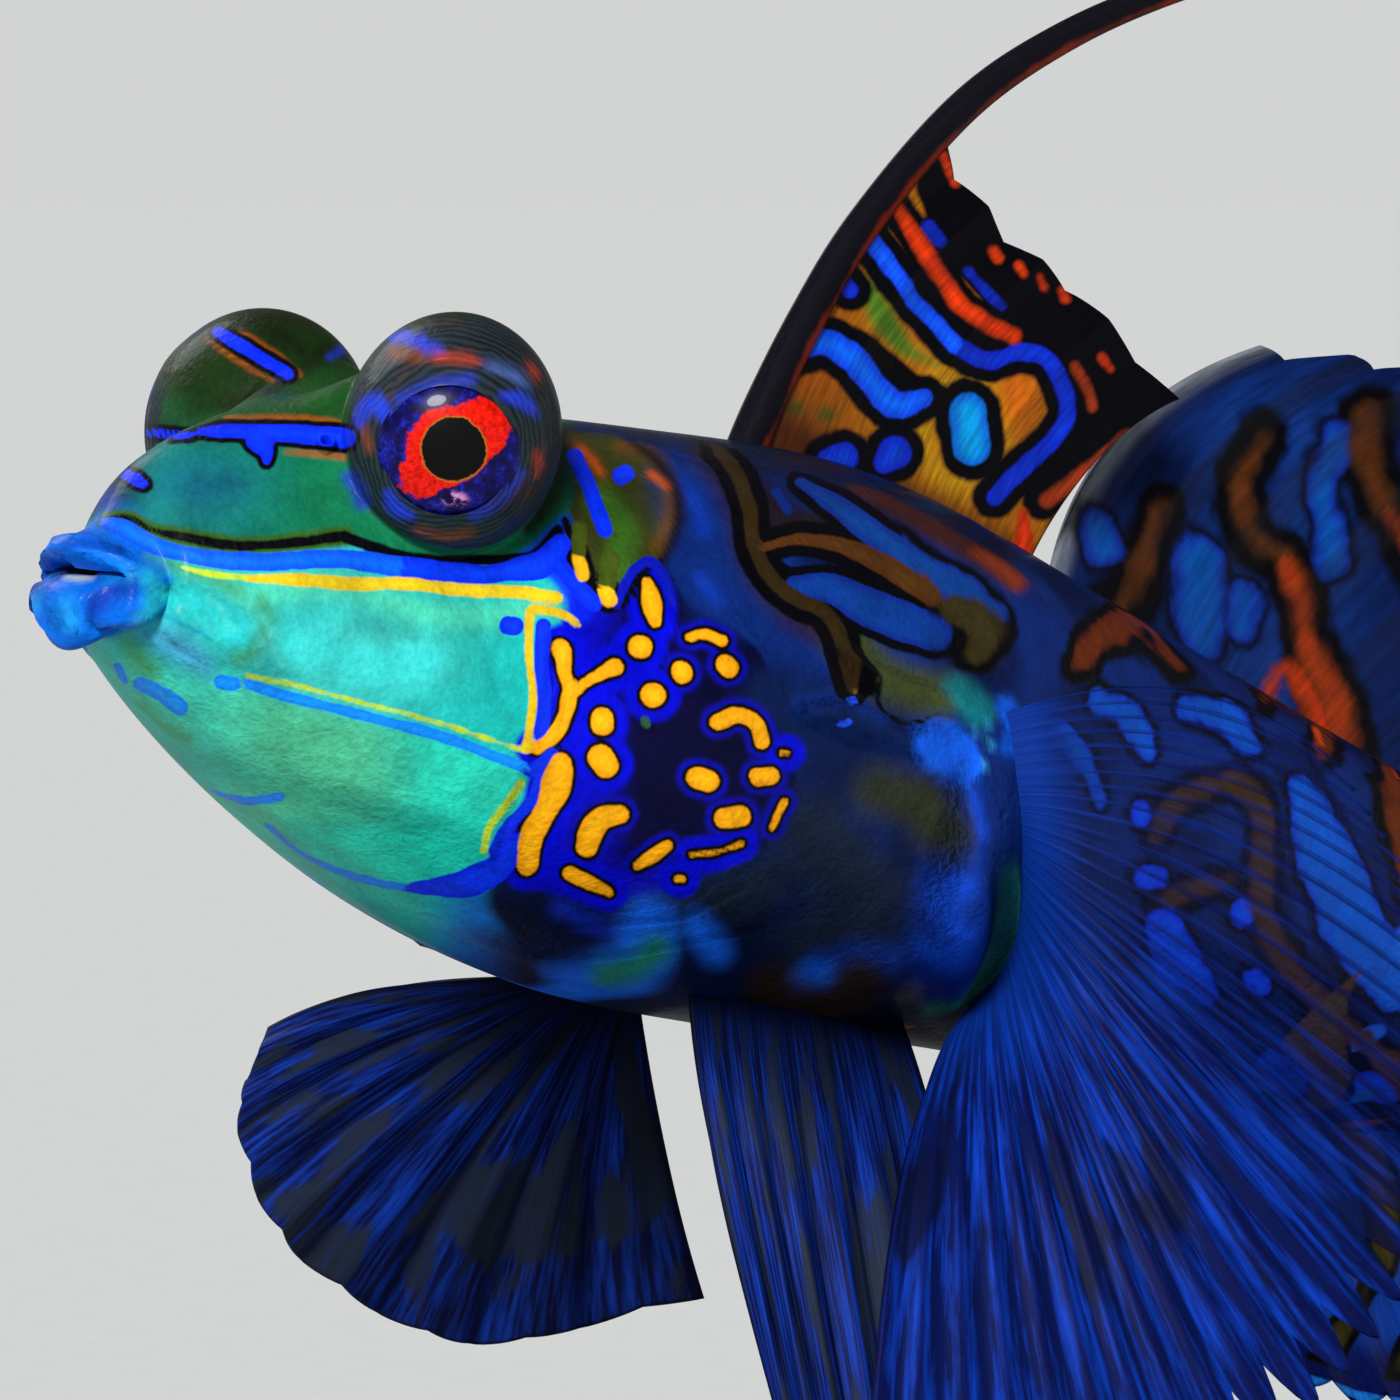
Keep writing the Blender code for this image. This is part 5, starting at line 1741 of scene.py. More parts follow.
# %% Cornea over the iris
def cornea():
    """Clear cornea over a pigmented iris: IOR 1.376, very smooth, fibres 0.06 mm apart."""
    finish, add = new_finish("cornea_over_iris")
    off, iris, pale, fibre, fibre_b = (
        add("ShaderNodeAttribute", attribute_name=n).outputs["Fac"]
        for n in ("off_axis", "iris", "pale", "fibre", "fibre_b")
    )
    around = add("ShaderNodeCombineXYZ", (fibre, fibre_b, off))
    fibres = add(
        "ShaderNodeTexNoise", {"Vector": around, "Scale": 9.0, "Detail": 5.0, "Roughness": 0.65}
    )
    place = add("ShaderNodeTexCoord").outputs["Object"]
    fleck = add(
        "ShaderNodeTexNoise",
        {"Vector": place, "Scale": 4.2 * PER_METRE, "Detail": 4.0, "Roughness": 0.7},
    )
    red = add("ShaderNodeValToRGB", (fibres,))
    ramp_colours(red.color_ramp, (0.34, "#8c0a04"), (0.72, "#e0260c"), (0.52, "#cc1004"))
    blue = add("ShaderNodeValToRGB", (fleck,))
    ramp_colours(blue.color_ramp, (0.38, "#050428"), (0.74, "#1f2abc"), (0.54, "#0b0954"))
    wobble = add("ShaderNodeMapRange", (fleck, 0.3, 0.7, -0.09, 0.09))
    rim = add("ShaderNodeMath", (iris, wobble), operation="ADD")
    outer = add("ShaderNodeMapRange", (rim, 0.97, 1.03))
    flecks = add("ShaderNodeMapRange", (fleck, 0.46, 0.6))
    flecks = add("ShaderNodeMath", (flecks, pale), operation="MULTIPLY")
    blue = add("ShaderNodeMix", {0: flecks, 6: blue, 7: rgba("#c884b4")}, data_type="RGBA")
    colour = add("ShaderNodeMix", {0: outer, 6: red, 7: blue.outputs[2]}, data_type="RGBA")
    for code, outside, inside_it in (("#9a5a12", 0.04, 0.015), ("#030303", 0.012, -0.012)):
        moved = add("ShaderNodeMath", (wobble, 0.3, off), operation="MULTIPLY_ADD")
        cut = add(
            "ShaderNodeMapRange",
            (moved, PUPIL_RADIUS + inside_it, PUPIL_RADIUS + outside, 1.0, 0.0),
        )
        colour = add(
            "ShaderNodeMix", {0: cut, 6: colour.outputs[2], 7: rgba(code)}, data_type="RGBA"
        )
    shader = add("ShaderNodeBsdfPrincipled", {
        "Base Color": colour.outputs[2], "Roughness": 0.3, "IOR": 1.376,
        "Specular IOR Level": 0.12, "Coat Weight": 0.2, "Coat Roughness": 0.04, "Coat IOR": 1.33,
    })
    add("ShaderNodeOutputMaterial", {"Surface": shader.outputs[0]})
    return finish


cornea_over_iris = cornea()
for name, side, node in (("left_eye", 1, "eye_left"), ("right_eye", -1, "eye_right")):
    piece = eye_piece(name, side, node)
    piece.data.materials.append(cornea_over_iris)
    print(name, "triangles:", len(piece.data.polygons))

# %% [markdown]
# ## Fins
#
# A fin is a membrane about a tenth of a millimetre thick, held out by bony rays. Each
# ray is a curve from its root by way of a middle point to its tip, and the surface
# runs smoothly from ray to ray. The membrane hangs back between the tips, which
# gives the scalloped edge, and each ray is a ridge on both faces.

# %% Fin surface
MEMBRANE_HALF = 0.045
RAY_HALF = 0.055
RAY_WIDTH = 0.42
THINS_BY = 0.55
ROOT_SINKS = 0.07


def fan(across, keys, roots, middles, tips, down):
    """Rays as quadratic curves: root (1-v)^2 + middle 2v(1-v) + tip v^2."""
    root, middle, tip = (smooth_points(across, keys, p)[None] for p in (roots, middles, tips))
    v = down[..., None]
    return root * (1 - v) ** 2 + 2 * v * (1 - v) * middle + v * v * tip


def fin_sheet(rays, keys, roots, middles, tips, per_ray=8, rows=72, notch=0.06, pleat=0.10):
    """Middle points, half thickness, and across, down and ray numbers of a fin.

    f is 0 on a ray and 1 halfway between two; the membrane's reach is 1 - notch f^1.6
    and its surface is pleated by a small share of a millimetre.
    """
    across = np.linspace(0, 1, rays * per_ray + 1)
    f = 2 * np.abs(across * rays - np.round(across * rays))
    reach = 1.0 - notch * f**1.6
    down = -ROOT_SINKS + (reach[None] + ROOT_SINKS) * np.linspace(0, 1, rows)[:, None]
    middle = fan(across, keys, roots, middles, tips, down)
    normal = unit(np.cross(np.gradient(middle, axis=0), np.gradient(middle, axis=1)))
    open_out = step(down / 0.6)
    middle = middle + normal * (pleat * (0.5 - f) * open_out)[..., None]
    ridge = RAY_HALF * (1 - np.clip(f / RAY_WIDTH, 0, 1)) ** 1.2
    half = MEMBRANE_HALF + ridge * (0.12 + open_out)
    half = half * (1 - THINS_BY * np.clip(down, 0, 1)) * np.ones_like(down)
    cells = {"across": across[None] + 0 * down, "down": down, "ray": f[None] + 0 * down}
    return middle, half, cells


def fin_piece(name, middle, half, cells, node, finish):
    """A closed slab from a sheet: two faces and a rim."""
    rows, columns = middle.shape[:2]
    normal = unit(np.cross(np.gradient(middle, axis=0), np.gradient(middle, axis=1)))
    lift = half[..., None] * normal
    points = np.vstack([(middle + lift).reshape(-1, 3), (middle - lift).reshape(-1, 3)])
    front = grid_faces(rows, columns)
    index = np.arange(rows * columns).reshape(rows, columns)
    border = np.concatenate([index[0, :-1], index[:-1, -1], index[-1, :0:-1], index[:0:-1, 0]])
    after, under = np.roll(border, -1), rows * columns
    faces = np.vstack([
        front,
        front[:, ::-1] + under,
        np.stack([border, after, border + under], -1),
        np.stack([after, after + under, border + under], -1),
    ])
    placed = posed(points)
    numbers = {k: np.concatenate([v.reshape(-1, *v.shape[2:])] * 2) for k, v in cells.items()}
    piece = mesh_piece(name, placed, outward(placed, faces), numbers)
    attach(piece, "root")
    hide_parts(node)
    piece.data.materials.append(finish)
    print(name, "triangles:", len(faces))


def mirrored(points, side):
    """The same points on the fish's other side when side is -1."""
    return np.asarray(points, float) * (1, side, 1)


ROOT_LIFT = 0.10

# %% [markdown]
# ## The banded sails
#
# The first dorsal fin is the male's banner: four spines, the first drawn out into a
# long streamer, with electric blue bands edged in black on olive and orange. Its
# lines are read from the photograph like the face's. The second dorsal fin carries
# upright orange-brown stripes on blue.

# %% Lines of the sails
FIRST_SAIL_LINES = (
    Marks(BLACK, "dark", 0, {
        "rear margin": (58, ((936, 150), (955, 205), (990, 240), (1045, 262), (1085, 305),
            (1110, 345), (1160, 408))),
        "rear border": (36, ((1160, 408), (1128, 430), (1096, 480), (1060, 540), (1040, 590))),
        "front spine": (22, ((735, 415), (760, 365), (800, 290), (840, 220), (890, 150),
            (945, 80))),
        "between bands": (13, ((822, 320), (850, 330), (882, 352), (912, 378), (945, 392))),
        "ground of the ember band": (38, ((880, 190), (914, 237), (940, 277), (966, 310),
            (1016, 340))),
        "dark field": (60, ((930, 185, 30), (966, 236), (1010, 288), (1052, 322), (1092, 368),
            (1104, 420))),
        "dark field low": (40, ((1104, 400), (1092, 440), (1064, 478), (1040, 500))),
    }),
    Marks("#0e40d4", "cool", 15, {
        "upper band": (17, ((866, 236), (888, 264), (907, 293), (934, 323), (956, 346))),
        "lower band": (26, ((796, 350, 22), (822, 343), (848, 356, 28), (871, 382), (894, 405),
            (922, 398, 16))),
    }),
    Marks("#0a60c4", "cool", 15, {"oval": (38, ((967, 412), (970, 448, 36)))}),
    Marks("#0c24b4", "cool", 14, {
        "upper band rear": (17, ((956, 346), (989, 361), (1019, 352), (1044, 358), (1060, 384),
            (1067, 410), (1054, 438), (1026, 464), (993, 496))),
        "low spot": (28, ((826, 459, 20), (842, 457, 30))),
        "second low spot": (28, ((882, 462, 20), (894, 452, 32))),
        "front spot": (15, ((845, 284), (849, 291))),
    }),
    Marks("#0a1c8c", "cool", 4, {
        "dark mark": (13, ((927, 226), (938, 241))),
        "second dark mark": (11, ((968, 272), (984, 290), (1000, 306))),
    }),
    Marks("#a62c0a", "warm", 0, {
        "ember band": (17, ((892, 199, 11), (914, 237), (940, 277), (966, 310), (1012, 336))),
        "dashes": (9, ((943, 157), (955, 184))),
        "dash b": (9, ((993, 251), (998, 258))),
        "dash c": (8, ((1018, 267), (1022, 274))),
        "dash d": (8, ((1039, 277), (1043, 287))),
        "dash e": (8, ((1061, 290), (1065, 299))),
        "dash f": (9, ((1102, 358), (1109, 368))),
        "low ember": (20, ((1022, 512, 10), (1022, 545), (1016, 578))),
    }),
    Marks("#7a2a12", "warm", 0, {
        "rear foot": (14, ((1126, 436), (1100, 458), (1072, 480), (1046, 500))),
        "behind the band": (10, ((1074, 366), (1088, 392), (1092, 408))),
    }),
)
SECOND_SAIL_LINES = (
    Marks("#3c200c", "warm", 21, {
        "front stripe": (22, ((1152, 512, 14), (1140, 560), (1116, 618, 30), (1082, 676, 40))),
        "second stripe top": (24, ((1262, 440, 14), (1240, 492, 26), (1250, 530, 28),
            (1276, 556))),
        "third stripe top": (22, ((1366, 420), (1366, 462), (1384, 504, 26))),
        "fourth stripe": (28, ((1500, 400), (1480, 470), (1530, 560), (1560, 640), (1610, 720))),
        "fifth stripe": (28, ((1640, 430), (1650, 520), (1690, 610), (1700, 700), (1760, 780))),
        "sixth stripe": (28, ((1790, 500), (1790, 590), (1840, 680), (1860, 760))),
    }),
    Marks("#6a270a", "warm", 20, {
        "second stripe": (20, ((1280, 562), (1298, 600), (1304, 640), (1334, 708, 30),
            (1342, 770, 24))),
        "third stripe": (26, ((1388, 512), (1430, 590), (1450, 660))),
    }),
    Marks("#0a2a86", "cool", 9, {
        "front blotch": (40, ((1096, 528), (1104, 546))),
        "blotch": (50, ((1194, 560), (1198, 590), (1204, 640, 44))),
        "blotch beside it": (36, ((1246, 600), (1240, 626))),
        "upper blotch": (34, ((1330, 440), (1322, 500), (1334, 560))),
        "rear blotch": (36, ((1450, 450), (1440, 520))),
        "far blotch": (36, ((1580, 470), (1590, 540))),
    }),
    Marks("#8a2a08", "warm", 0, {
        "ember foot": (17, ((1264, 696, 12), (1280, 668), (1304, 690), (1326, 744))),
        "ember front": (16, ((1118, 624), (1096, 652))),
    }),
)
print("marks on the sails:", sum(len(g.lines) for g in FIRST_SAIL_LINES + SECOND_SAIL_LINES))

# %% Ground and inks of the sails
GREEN_FIELD = ((852, 276), (874, 278), (912, 346), (938, 366), (900, 356), (872, 330))


def sail_inks(middle, groups, ground):
    """The sail's layers, from where its middle sheet stands in the photograph's plane."""
    pixels = seen_at(posed(middle.reshape(-1, 3)))
    layers = draw(groups, pixels, None, None)
    shape = middle.shape[:2]
    cells = {"ground": ground(pixels).reshape(*shape, 3)}
    for name, (distance, ink) in layers.items():
        cells[name + "_edge"] = np.clip(distance, -1, 1).reshape(shape)
        cells[name + "_ink"] = ink.reshape(*shape, 3)
    return cells


def first_sail_ground(pixels):
    """Orange, golden round the oval and redder to the front, browner at the base."""
    x, y = pixels.T
    golden = bump(np.hypot((x - 960) / 1.0, (y - 430) / 1.3), 40, 14)
    green = inside(GREEN_FIELD, pixels)
    smudge = np.minimum(np.hypot((x - 794) / 1.3, y - 408), np.hypot((x - 824) / 1.2, y - 414))
    base = 425 + (x - 735) * 0.56
    return laid_over(
        linear("#7c3c0c"),
        ("#9a5a0e", step((x - 790) / 110)),
        ("#b48812", golden * 0.7),
        ("#b4560e", bump(x, 1016, 22) * bump(y, 398, 34)),
        ("#1d6a1c", step(0.5 - green / 18) * 0.85),
        ("#1e4412", bump(smudge, 0, 9) * 0.8),
        ("#3a1a0a", step((y - base + 62) / 40) * 0.9),
        ("#120808", step((150 - y) / 60)),
    )


def second_sail_ground(pixels):
    """Blue in broad waves, darker towards the top edge."""
    x, y = pixels.T
    return laid_over(
        linear("#061848"),
        ("#0a2866", step(np.sin(x * 0.021) * 0.5 + 0.5)),
        ("#04123c", step((430 - y) / 70) * 0.6),
    )


SAIL_MIDDLE = np.array([[960.0, 430.0]])
print("golden sail, linear:", np.round(first_sail_ground(SAIL_MIDDLE)[0], 2))

# %% Banded membrane
STREAK_STRETCH = (75.0, 7.0, 1.0)


def banded_membrane(name, gloss, blur, ember, ragged_by, ragged_scale):
    """Pigmented fin skin, thin and moist: IOR 1.40, soft gloss, streaks 0.15 mm along rays."""
    finish, add = new_finish(name)
    place = add("ShaderNodeTexCoord").outputs["Object"]
    cores = {"cool": (0.5, 2.3, 1.15), "warm": ember}
    colour = inked(add, place, ragged_by, ragged_scale, blur, cores, 0.26)
    across, down = (
        add("ShaderNodeAttribute", attribute_name=n).outputs["Fac"] for n in ("across", "down")
    )
    along = add("ShaderNodeCombineXYZ", (across, down))
    stretched = add("ShaderNodeVectorMath", (along, STREAK_STRETCH), operation="MULTIPLY")
    streak = add(
        "ShaderNodeTexNoise",
        {"Vector": stretched, "Scale": 1.0, "Detail": 4.0, "Roughness": 0.6},
    )
    tone = add("ShaderNodeMapRange", (streak, 0.3, 0.7, 0.6, 1.3))
    toned = add("ShaderNodeVectorMath", {0: colour, "Scale": tone}, operation="SCALE")
    bumped = add("ShaderNodeBump", {"Height": streak, "Strength": 0.5, "Distance": 0.05 * MM})
    shader = add("ShaderNodeBsdfPrincipled", {
        "Base Color": toned, "Roughness": gloss, "IOR": 1.4, "Specular IOR Level": 0.08,
        "Normal": bumped,
    })
    add("ShaderNodeOutputMaterial", {"Surface": shader.outputs[0]})
    return finish


banded_fin_skin = banded_membrane("pigmented_fin_skin", 0.45, 0.03, (2.4, 1.5, 1.2), 0.035, 2.2)
washed_fin_skin = banded_membrane("washed_fin_skin", 0.5, 0.075, (1.7, 1.25, 1.1), 0.2, 0.8)
print("fin skin nodes:", len(banded_fin_skin.node_tree.nodes))

# %% First sail and its streamer
middle, half, cells = fin_sheet(
    4, (0.0, 0.33, 0.66, 1.0),
    [on_skin(s, 90, ROOT_LIFT) for s in (14.5, 16.6, 18.9, 21.4)],
    [(14.9, 0, 8.0), (17.0, 0.1, 7.5), (19.1, 0.4, 6.9), (21.5, 0.7, 6.5)],
    [(17.5, 0, 10.8), (18.9, 0.3, 9.6), (20.6, 0.7, 8.9), (23.0, 1.1, 7.7)],
    per_ray=34, rows=150, notch=0.03, pleat=0.12,
)
cells.update(sail_inks(middle, FIRST_SAIL_LINES, first_sail_ground))
fin_piece(
    "first_dorsal_sail", middle, half, cells, "dorsal_fin_first", banded_fin_skin
)


STREAMER_PATH = (
    (14.5, 0, 3.9), (14.8, 0, 5.1), (15.4, 0, 6.9), (16.2, 0, 8.8), (17.8, 0, 11.5),
    (19.5, 0, 13.4), (21.4, 0, 15.0), (23.8, 0, 16.6), (26.4, 0, 18.0),
)
STREAMER_ROOT, STREAMER_THINS = (0.44, 0.24), (0.26, 0.14)


def streamer(rings=90, around=18):
    """The drawn-out first spine: ellipses along a smooth path, thinning to the tip."""
    at = np.linspace(0, 1, rings)[:, None]
    line = smooth_points(at[:, 0], np.linspace(0, 1, len(STREAMER_PATH)), STREAMER_PATH)
    deep, wide = (STREAMER_ROOT[k] - STREAMER_THINS[k] * at for k in (0, 1))
    turn = np.linspace(0, 2 * np.pi, around, endpoint=False)
    side = np.array([0.0, 1.0, 0.0])
    up = np.cross(unit(np.gradient(line, axis=0)), side)[:, None]
    points = line[:, None] + (wide * np.cos(turn))[..., None] * side
    points = (points + (deep * np.sin(turn))[..., None] * up).reshape(-1, 3)
    flat, faces = closed_ends(posed(points), grid_faces(rings, around, True), rings, around)
    across = np.append(np.broadcast_to(-np.sin(turn), (rings, around)).ravel(), (0, 0))
    down = np.append(np.broadcast_to(at, (rings, around)).ravel(), (0, 1))
    ember = 0.16 - np.abs(across - 0.7) * 0.8 + 0.10 * np.sin(down * 34.0)
    ember[-2:] = -1
    whole = (len(flat), 3)
    numbers = {"across": across, "down": down, "ground": np.broadcast_to(linear("#0b0a14"), whole)}
    for layer in LAYERS:
        numbers[layer + "_edge"] = np.ones(len(flat))
        numbers[layer + "_ink"] = np.zeros(whole)
    numbers["warm_edge"] = -ember * 0.3
    numbers["warm_ink"] = np.broadcast_to(linear("#7a240c"), whole)
    piece = mesh_piece("streamer", flat, outward(flat, faces), numbers)
    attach(piece, "root")
    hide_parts("dorsal_fin_first")
    piece.data.materials.append(banded_fin_skin)
    print("streamer triangles:", len(faces))


streamer()

# %% Second sail
middle, half, cells = fin_sheet(
    9, (0.0, 0.25, 0.5, 0.8, 1.0),
    [on_skin(s, 90, ROOT_LIFT) for s in (22.0, 25.8, 30.0, 34.4, 37.2)],
    [(22.5, -0.8, 7.5), (27.6, -0.6, 8.2), (33.0, -0.2, 7.2), (38.0, 0, 5.8), (41.2, 0, 4.6)],
    [(26.6, -0.9, 9.9), (32.0, -0.6, 11.0), (37.2, -0.3, 10.4), (42.2, 0, 8.8), (45.4, 0, 6.8)],
    per_ray=18, rows=120, notch=0.05, pleat=0.22,
)
cells.update(sail_inks(middle, SECOND_SAIL_LINES, second_sail_ground))
pale = np.clip(0.35 - cells["across"] * 9.0, -1, 1) * np.ones_like(cells["down"])
cells["ground"] = blend_colours(cells["ground"], linear("#6c727c"), step(pale * 3))
fin_piece(
    "second_dorsal_sail", middle, half, cells, "dorsal_fin_second", washed_fin_skin
)


# %% Anal and tail fins
def maze_cells(middle, cells, warm_code, margin_code):
    """Maze bands over a fin laid flat, with a dark blue border and a thin bright edge."""
    bands = maze(middle[..., 0] * 0.9, middle[..., 2] * 0.8, 2.5)
    shape = bands.shape
    down = np.clip(cells["down"], 0, 1) + 0 * bands
    border = (0.86 - down) * 6.0
    cells["ground"] = laid_over(linear("#0d3a9c"), (margin_code, step((down - 0.72) / 0.12)))
    for layer, distance, code in (
        ("warm", np.maximum(bands, -border), warm_code),
        ("dark", np.maximum(bands - 0.2, -border - 0.2), BLACK),
        ("cool", np.abs((down - 0.965) * 9.0) - 0.16, "#1c7af0"),
        ("halo", np.ones(shape), BLACK),
    ):
        cells[layer + "_edge"] = distance
        cells[layer + "_ink"] = np.broadcast_to(linear(code), (*shape, 3))


middle, half, cells = fin_sheet(
    8, (0.0, 0.5, 1.0),
    [on_skin(s, -90, ROOT_LIFT) for s in (28.0, 32.4, 37.4)],
    [(28.4, 0, -6.6), (33.8, 0, -6.0), (39.6, 0, -4.6)],
    [(30.2, 0, -8.4), (36.4, 0, -8.4), (42.2, 0, -6.2)],
    per_ray=12, rows=60, pleat=0.2,
)
maze_cells(middle, cells, "#2c2a0c", "#06145c")
fin_piece("anal_sail", middle, half, cells, "anal_fin", banded_fin_skin)

start = STEM_END - 0.1
middle, half, cells = fin_sheet(
    12, (0.0, 0.25, 0.5, 0.75, 1.0),
    [(start, 0, 1.9), (start, 0, 0.9), (start, 0, 0.0), (start, 0, -1.0), (start, 0, -2.0)],
    [(start + 5.5, 0, 3.9), (start + 6.6, 0, 2.0), (start + 7.4, 0, -0.1), (start + 6.6, 0, -2.2),
     (start + 5.5, 0, -4.1)],
    [(start + 11.0, 0, 5.3), (start + 13.9, 0, 3.2), (start + 15.0, 0, -0.2),
     (start + 13.9, 0, -3.6), (start + 11.0, 0, -5.7)],
    per_ray=12, rows=110, notch=0.04, pleat=0.16,
)
maze_cells(middle, cells, "#742f0c", "#07124e")
fin_piece("tail_fan", middle, half, cells, "caudal_fin", banded_fin_skin)

# %% [markdown]
# ## The clear fins
#
# The pectoral and pelvic fins are dark blue but thin enough to show what is behind.
# Their colour follows the rays, so the shader reads the fin's own across and down
# numbers: dark rays, blue webs, and broken olive bars on the pelvic fins.


# %% Clear membrane
BEADS_PER_RAY = 380.0 / (2 * math.pi)
FINE_STRETCH, BAR_STRETCH = (90.0, 3.5, 1.0), (13.0, 2.6, 1.0)


def clear_membrane(name, root_code, web_code, bright_code, bar_code, bar_limit, bright_limit,
                   ray_code):
    """Fin skin with few pigment cells: IOR 1.40; webs let light through where it is clear."""
    finish, add = new_finish(name)
    across, down, ray, clear = (
        add("ShaderNodeAttribute", attribute_name=n).outputs["Fac"]
        for n in ("across", "down", "ray", "clear")
    )
    along = add("ShaderNodeCombineXYZ", (across, down))
    fine_at = add("ShaderNodeVectorMath", (along, FINE_STRETCH), operation="MULTIPLY")
    broad_at = add("ShaderNodeVectorMath", (along, BAR_STRETCH), operation="MULTIPLY")
    fine = add(
        "ShaderNodeTexNoise",
        {"Vector": fine_at, "Scale": 1.0, "Detail": 4.0, "Roughness": 0.6},
    )
    broad = add("ShaderNodeTexNoise", {"Vector": broad_at, "Scale": 1.0, "Detail": 3.0})
    bright = add("ShaderNodeMapRange", (fine, bright_limit - 0.12, bright_limit + 0.12))
    bars = add("ShaderNodeMapRange", (broad, bar_limit, bar_limit + 0.07, 0.0, 0.9))
    beads = add("ShaderNodeMath", (down, 2 * math.pi * BEADS_PER_RAY), operation="MULTIPLY")
    beads = add("ShaderNodeMath", (beads,), operation="SINE")
    beads = add("ShaderNodeMapRange", (beads, -1.0, 1.0, 0.85, 1.12))
    bead_ink = add(
        "ShaderNodeVectorMath", {0: rgba(ray_code)[:3], "Scale": beads}, operation="SCALE"
    )
    on_ray = add("ShaderNodeMapRange", (ray, 0.06, 0.26, 0.7, 0.0))
    rooted = add("ShaderNodeMapRange", (down, 0.02, 0.3, 0.9, 0.0))
    colour = rgba(web_code)
    for share, over in (
        (bright, rgba(bright_code)), (bars, rgba(bar_code)), (on_ray, bead_ink),
        (rooted, rgba(root_code)),
    ):
        colour = add("ShaderNodeMix", {0: share, 6: colour, 7: over}, data_type="RGBA").outputs[2]
    web = add("ShaderNodeMapRange", (ray, 0.08, 0.24))
    gap = add("ShaderNodeMath", (clear, web), operation="MULTIPLY")
    through = add("ShaderNodeMath", (clear, 0.55), operation="MULTIPLY")
    through = add("ShaderNodeMath", (gap, through), operation="MAXIMUM")
    solid = add("ShaderNodeMath", (1.0, through), operation="SUBTRACT")
    bumped = add("ShaderNodeBump", {"Height": fine, "Strength": 0.45, "Distance": 0.05 * MM})
    shader = add("ShaderNodeBsdfPrincipled", {
        "Base Color": colour, "Roughness": 0.5, "IOR": 1.4, "Specular IOR Level": 0.06,
        "Alpha": solid, "Normal": bumped,
    })
    add("ShaderNodeOutputMaterial", {"Surface": shader.outputs[0]})
    return finish


pectoral_web = clear_membrane(
    "clear_blue_fin_web", "#062a7c", "#040f42", "#0838ac", "#060c28", 0.58, 0.57, "#060a3c"
)
pelvic_web = clear_membrane(
    "striped_fin_web", "#020618", "#040c38", "#0b349c", "#1c2430", 0.50, 0.55, "#02051c"
)
print("web nodes:", len(pectoral_web.node_tree.nodes))


# %% Pectoral fins
# For the spread left fin and the folded right one: each ray's middle and tip.
PECTORAL_ROOTS = ((17.3, 12), (17.8, -3), (18.5, -17), (19.4, -36), (20.0, -56))
PECTORAL_RAYS = {
    1: (
        ((19.7, 6.9, 2.1), (20.4, 7.8, -0.2), (19.8, 8.3, -4.2), (18.1, 7.8, -7.3),
         (14.8, 6.6, -7.2)),
        ((22.9, 7.6, 0.9), (25.1, 9.0, -2.0), (25.6, 10.0, -6.8), (21.7, 9.4, -12.5),
         (15.0, 7.6, -13.7)),
    ),
    -1: (
        ((20.4, 6.6, 1.6), (21.8, 7.8, -0.6), (22.0, 7.8, -3.2), (22.2, 7.0, -4.6),
         (21.8, 6.2, -4.9)),
        ((24.6, 7.0, 1.4), (27.2, 8.4, -1.8), (27.0, 8.4, -5.6), (26.8, 7.8, -7.0),
         (25.4, 7.0, -7.4)),
    ),
}


def pectoral(name, side, node):
    """Thirty rays from the upright root: spread out and down, or folded back."""
    roots = [on_skin(s, a, ROOT_LIFT) for s, a in PECTORAL_ROOTS]
    middles, tips = PECTORAL_RAYS[side]
    middle, half, cells = fin_sheet(
        30, (0.0, 0.25, 0.5, 0.78, 1.0), mirrored(roots, side), mirrored(middles, side),
        mirrored(tips, side), per_ray=8, rows=96, notch=0.10, pleat=0.09,
    )
    open_web = 0.93 - 0.90 * step((cells["across"] - 0.40) / 0.24)
    cells["clear"] = step((cells["down"] - 0.02) / 0.14) * open_web
    fin_piece(name, middle, half, cells, node, pectoral_web)


pectoral("left_pectoral", 1, "pectoral_fin_left")
pectoral("right_pectoral", -1, "pectoral_fin_right")

# %% Pelvic fins
PELVIC_CLEAR = 0.06
middle, half, cells = fin_sheet(
    6, (0.0, 0.5, 1.0),
    [on_skin(s, a, ROOT_LIFT) for s, a in ((13.7, -68), (15.9, -66), (19.3, -68))],
    [(13.4, 3.4, -8.4), (15.6, 4.2, -9.0), (19.0, 4.9, -8.3)],
    [(16.6, 4.4, -14.1), (17.4, 5.4, -14.1), (19.9, 5.8, -12.6)],
    per_ray=16, rows=80, notch=0.05, pleat=0.28,
)
cells["clear"] = PELVIC_CLEAR * cells["down"]
fin_piece("left_pelvic", middle, half, cells, "pelvic_fin_left", pelvic_web)
middle, half, cells = fin_sheet(
    8, (0.0, 0.25, 0.5, 0.75, 1.0),
    mirrored([on_skin(s, -68, ROOT_LIFT) for s in (12.9, 13.7, 14.5, 15.3, 16.2)], -1),
    [(11.4, -4.8, -6.2), (12.0, -5.2, -7.4), (13.8, -5.4, -8.8), (16.5, -5.0, -9.3),
     (18.9, -3.9, -7.6)],
    [(11.3, -7.0, -7.2), (11.8, -8.0, -9.1), (14.4, -8.4, -11.2), (19.1, -7.8, -12.0),
     (22.9, -5.4, -10.1)],
    per_ray=14, rows=80, notch=0.04, pleat=0.26,
)
cells["clear"] = PELVIC_CLEAR * cells["down"]
fin_piece("right_pelvic", middle, half, cells, "pelvic_fin_right", pelvic_web)

# %% [markdown]
# ## The stand
#
# A low oval plinth of ebonised wood and two brushed steel rods hold the model. Both
# shapes are right as solids, so they stay and take better finishes: open grain under
# a satin lacquer, and fine turning marks.


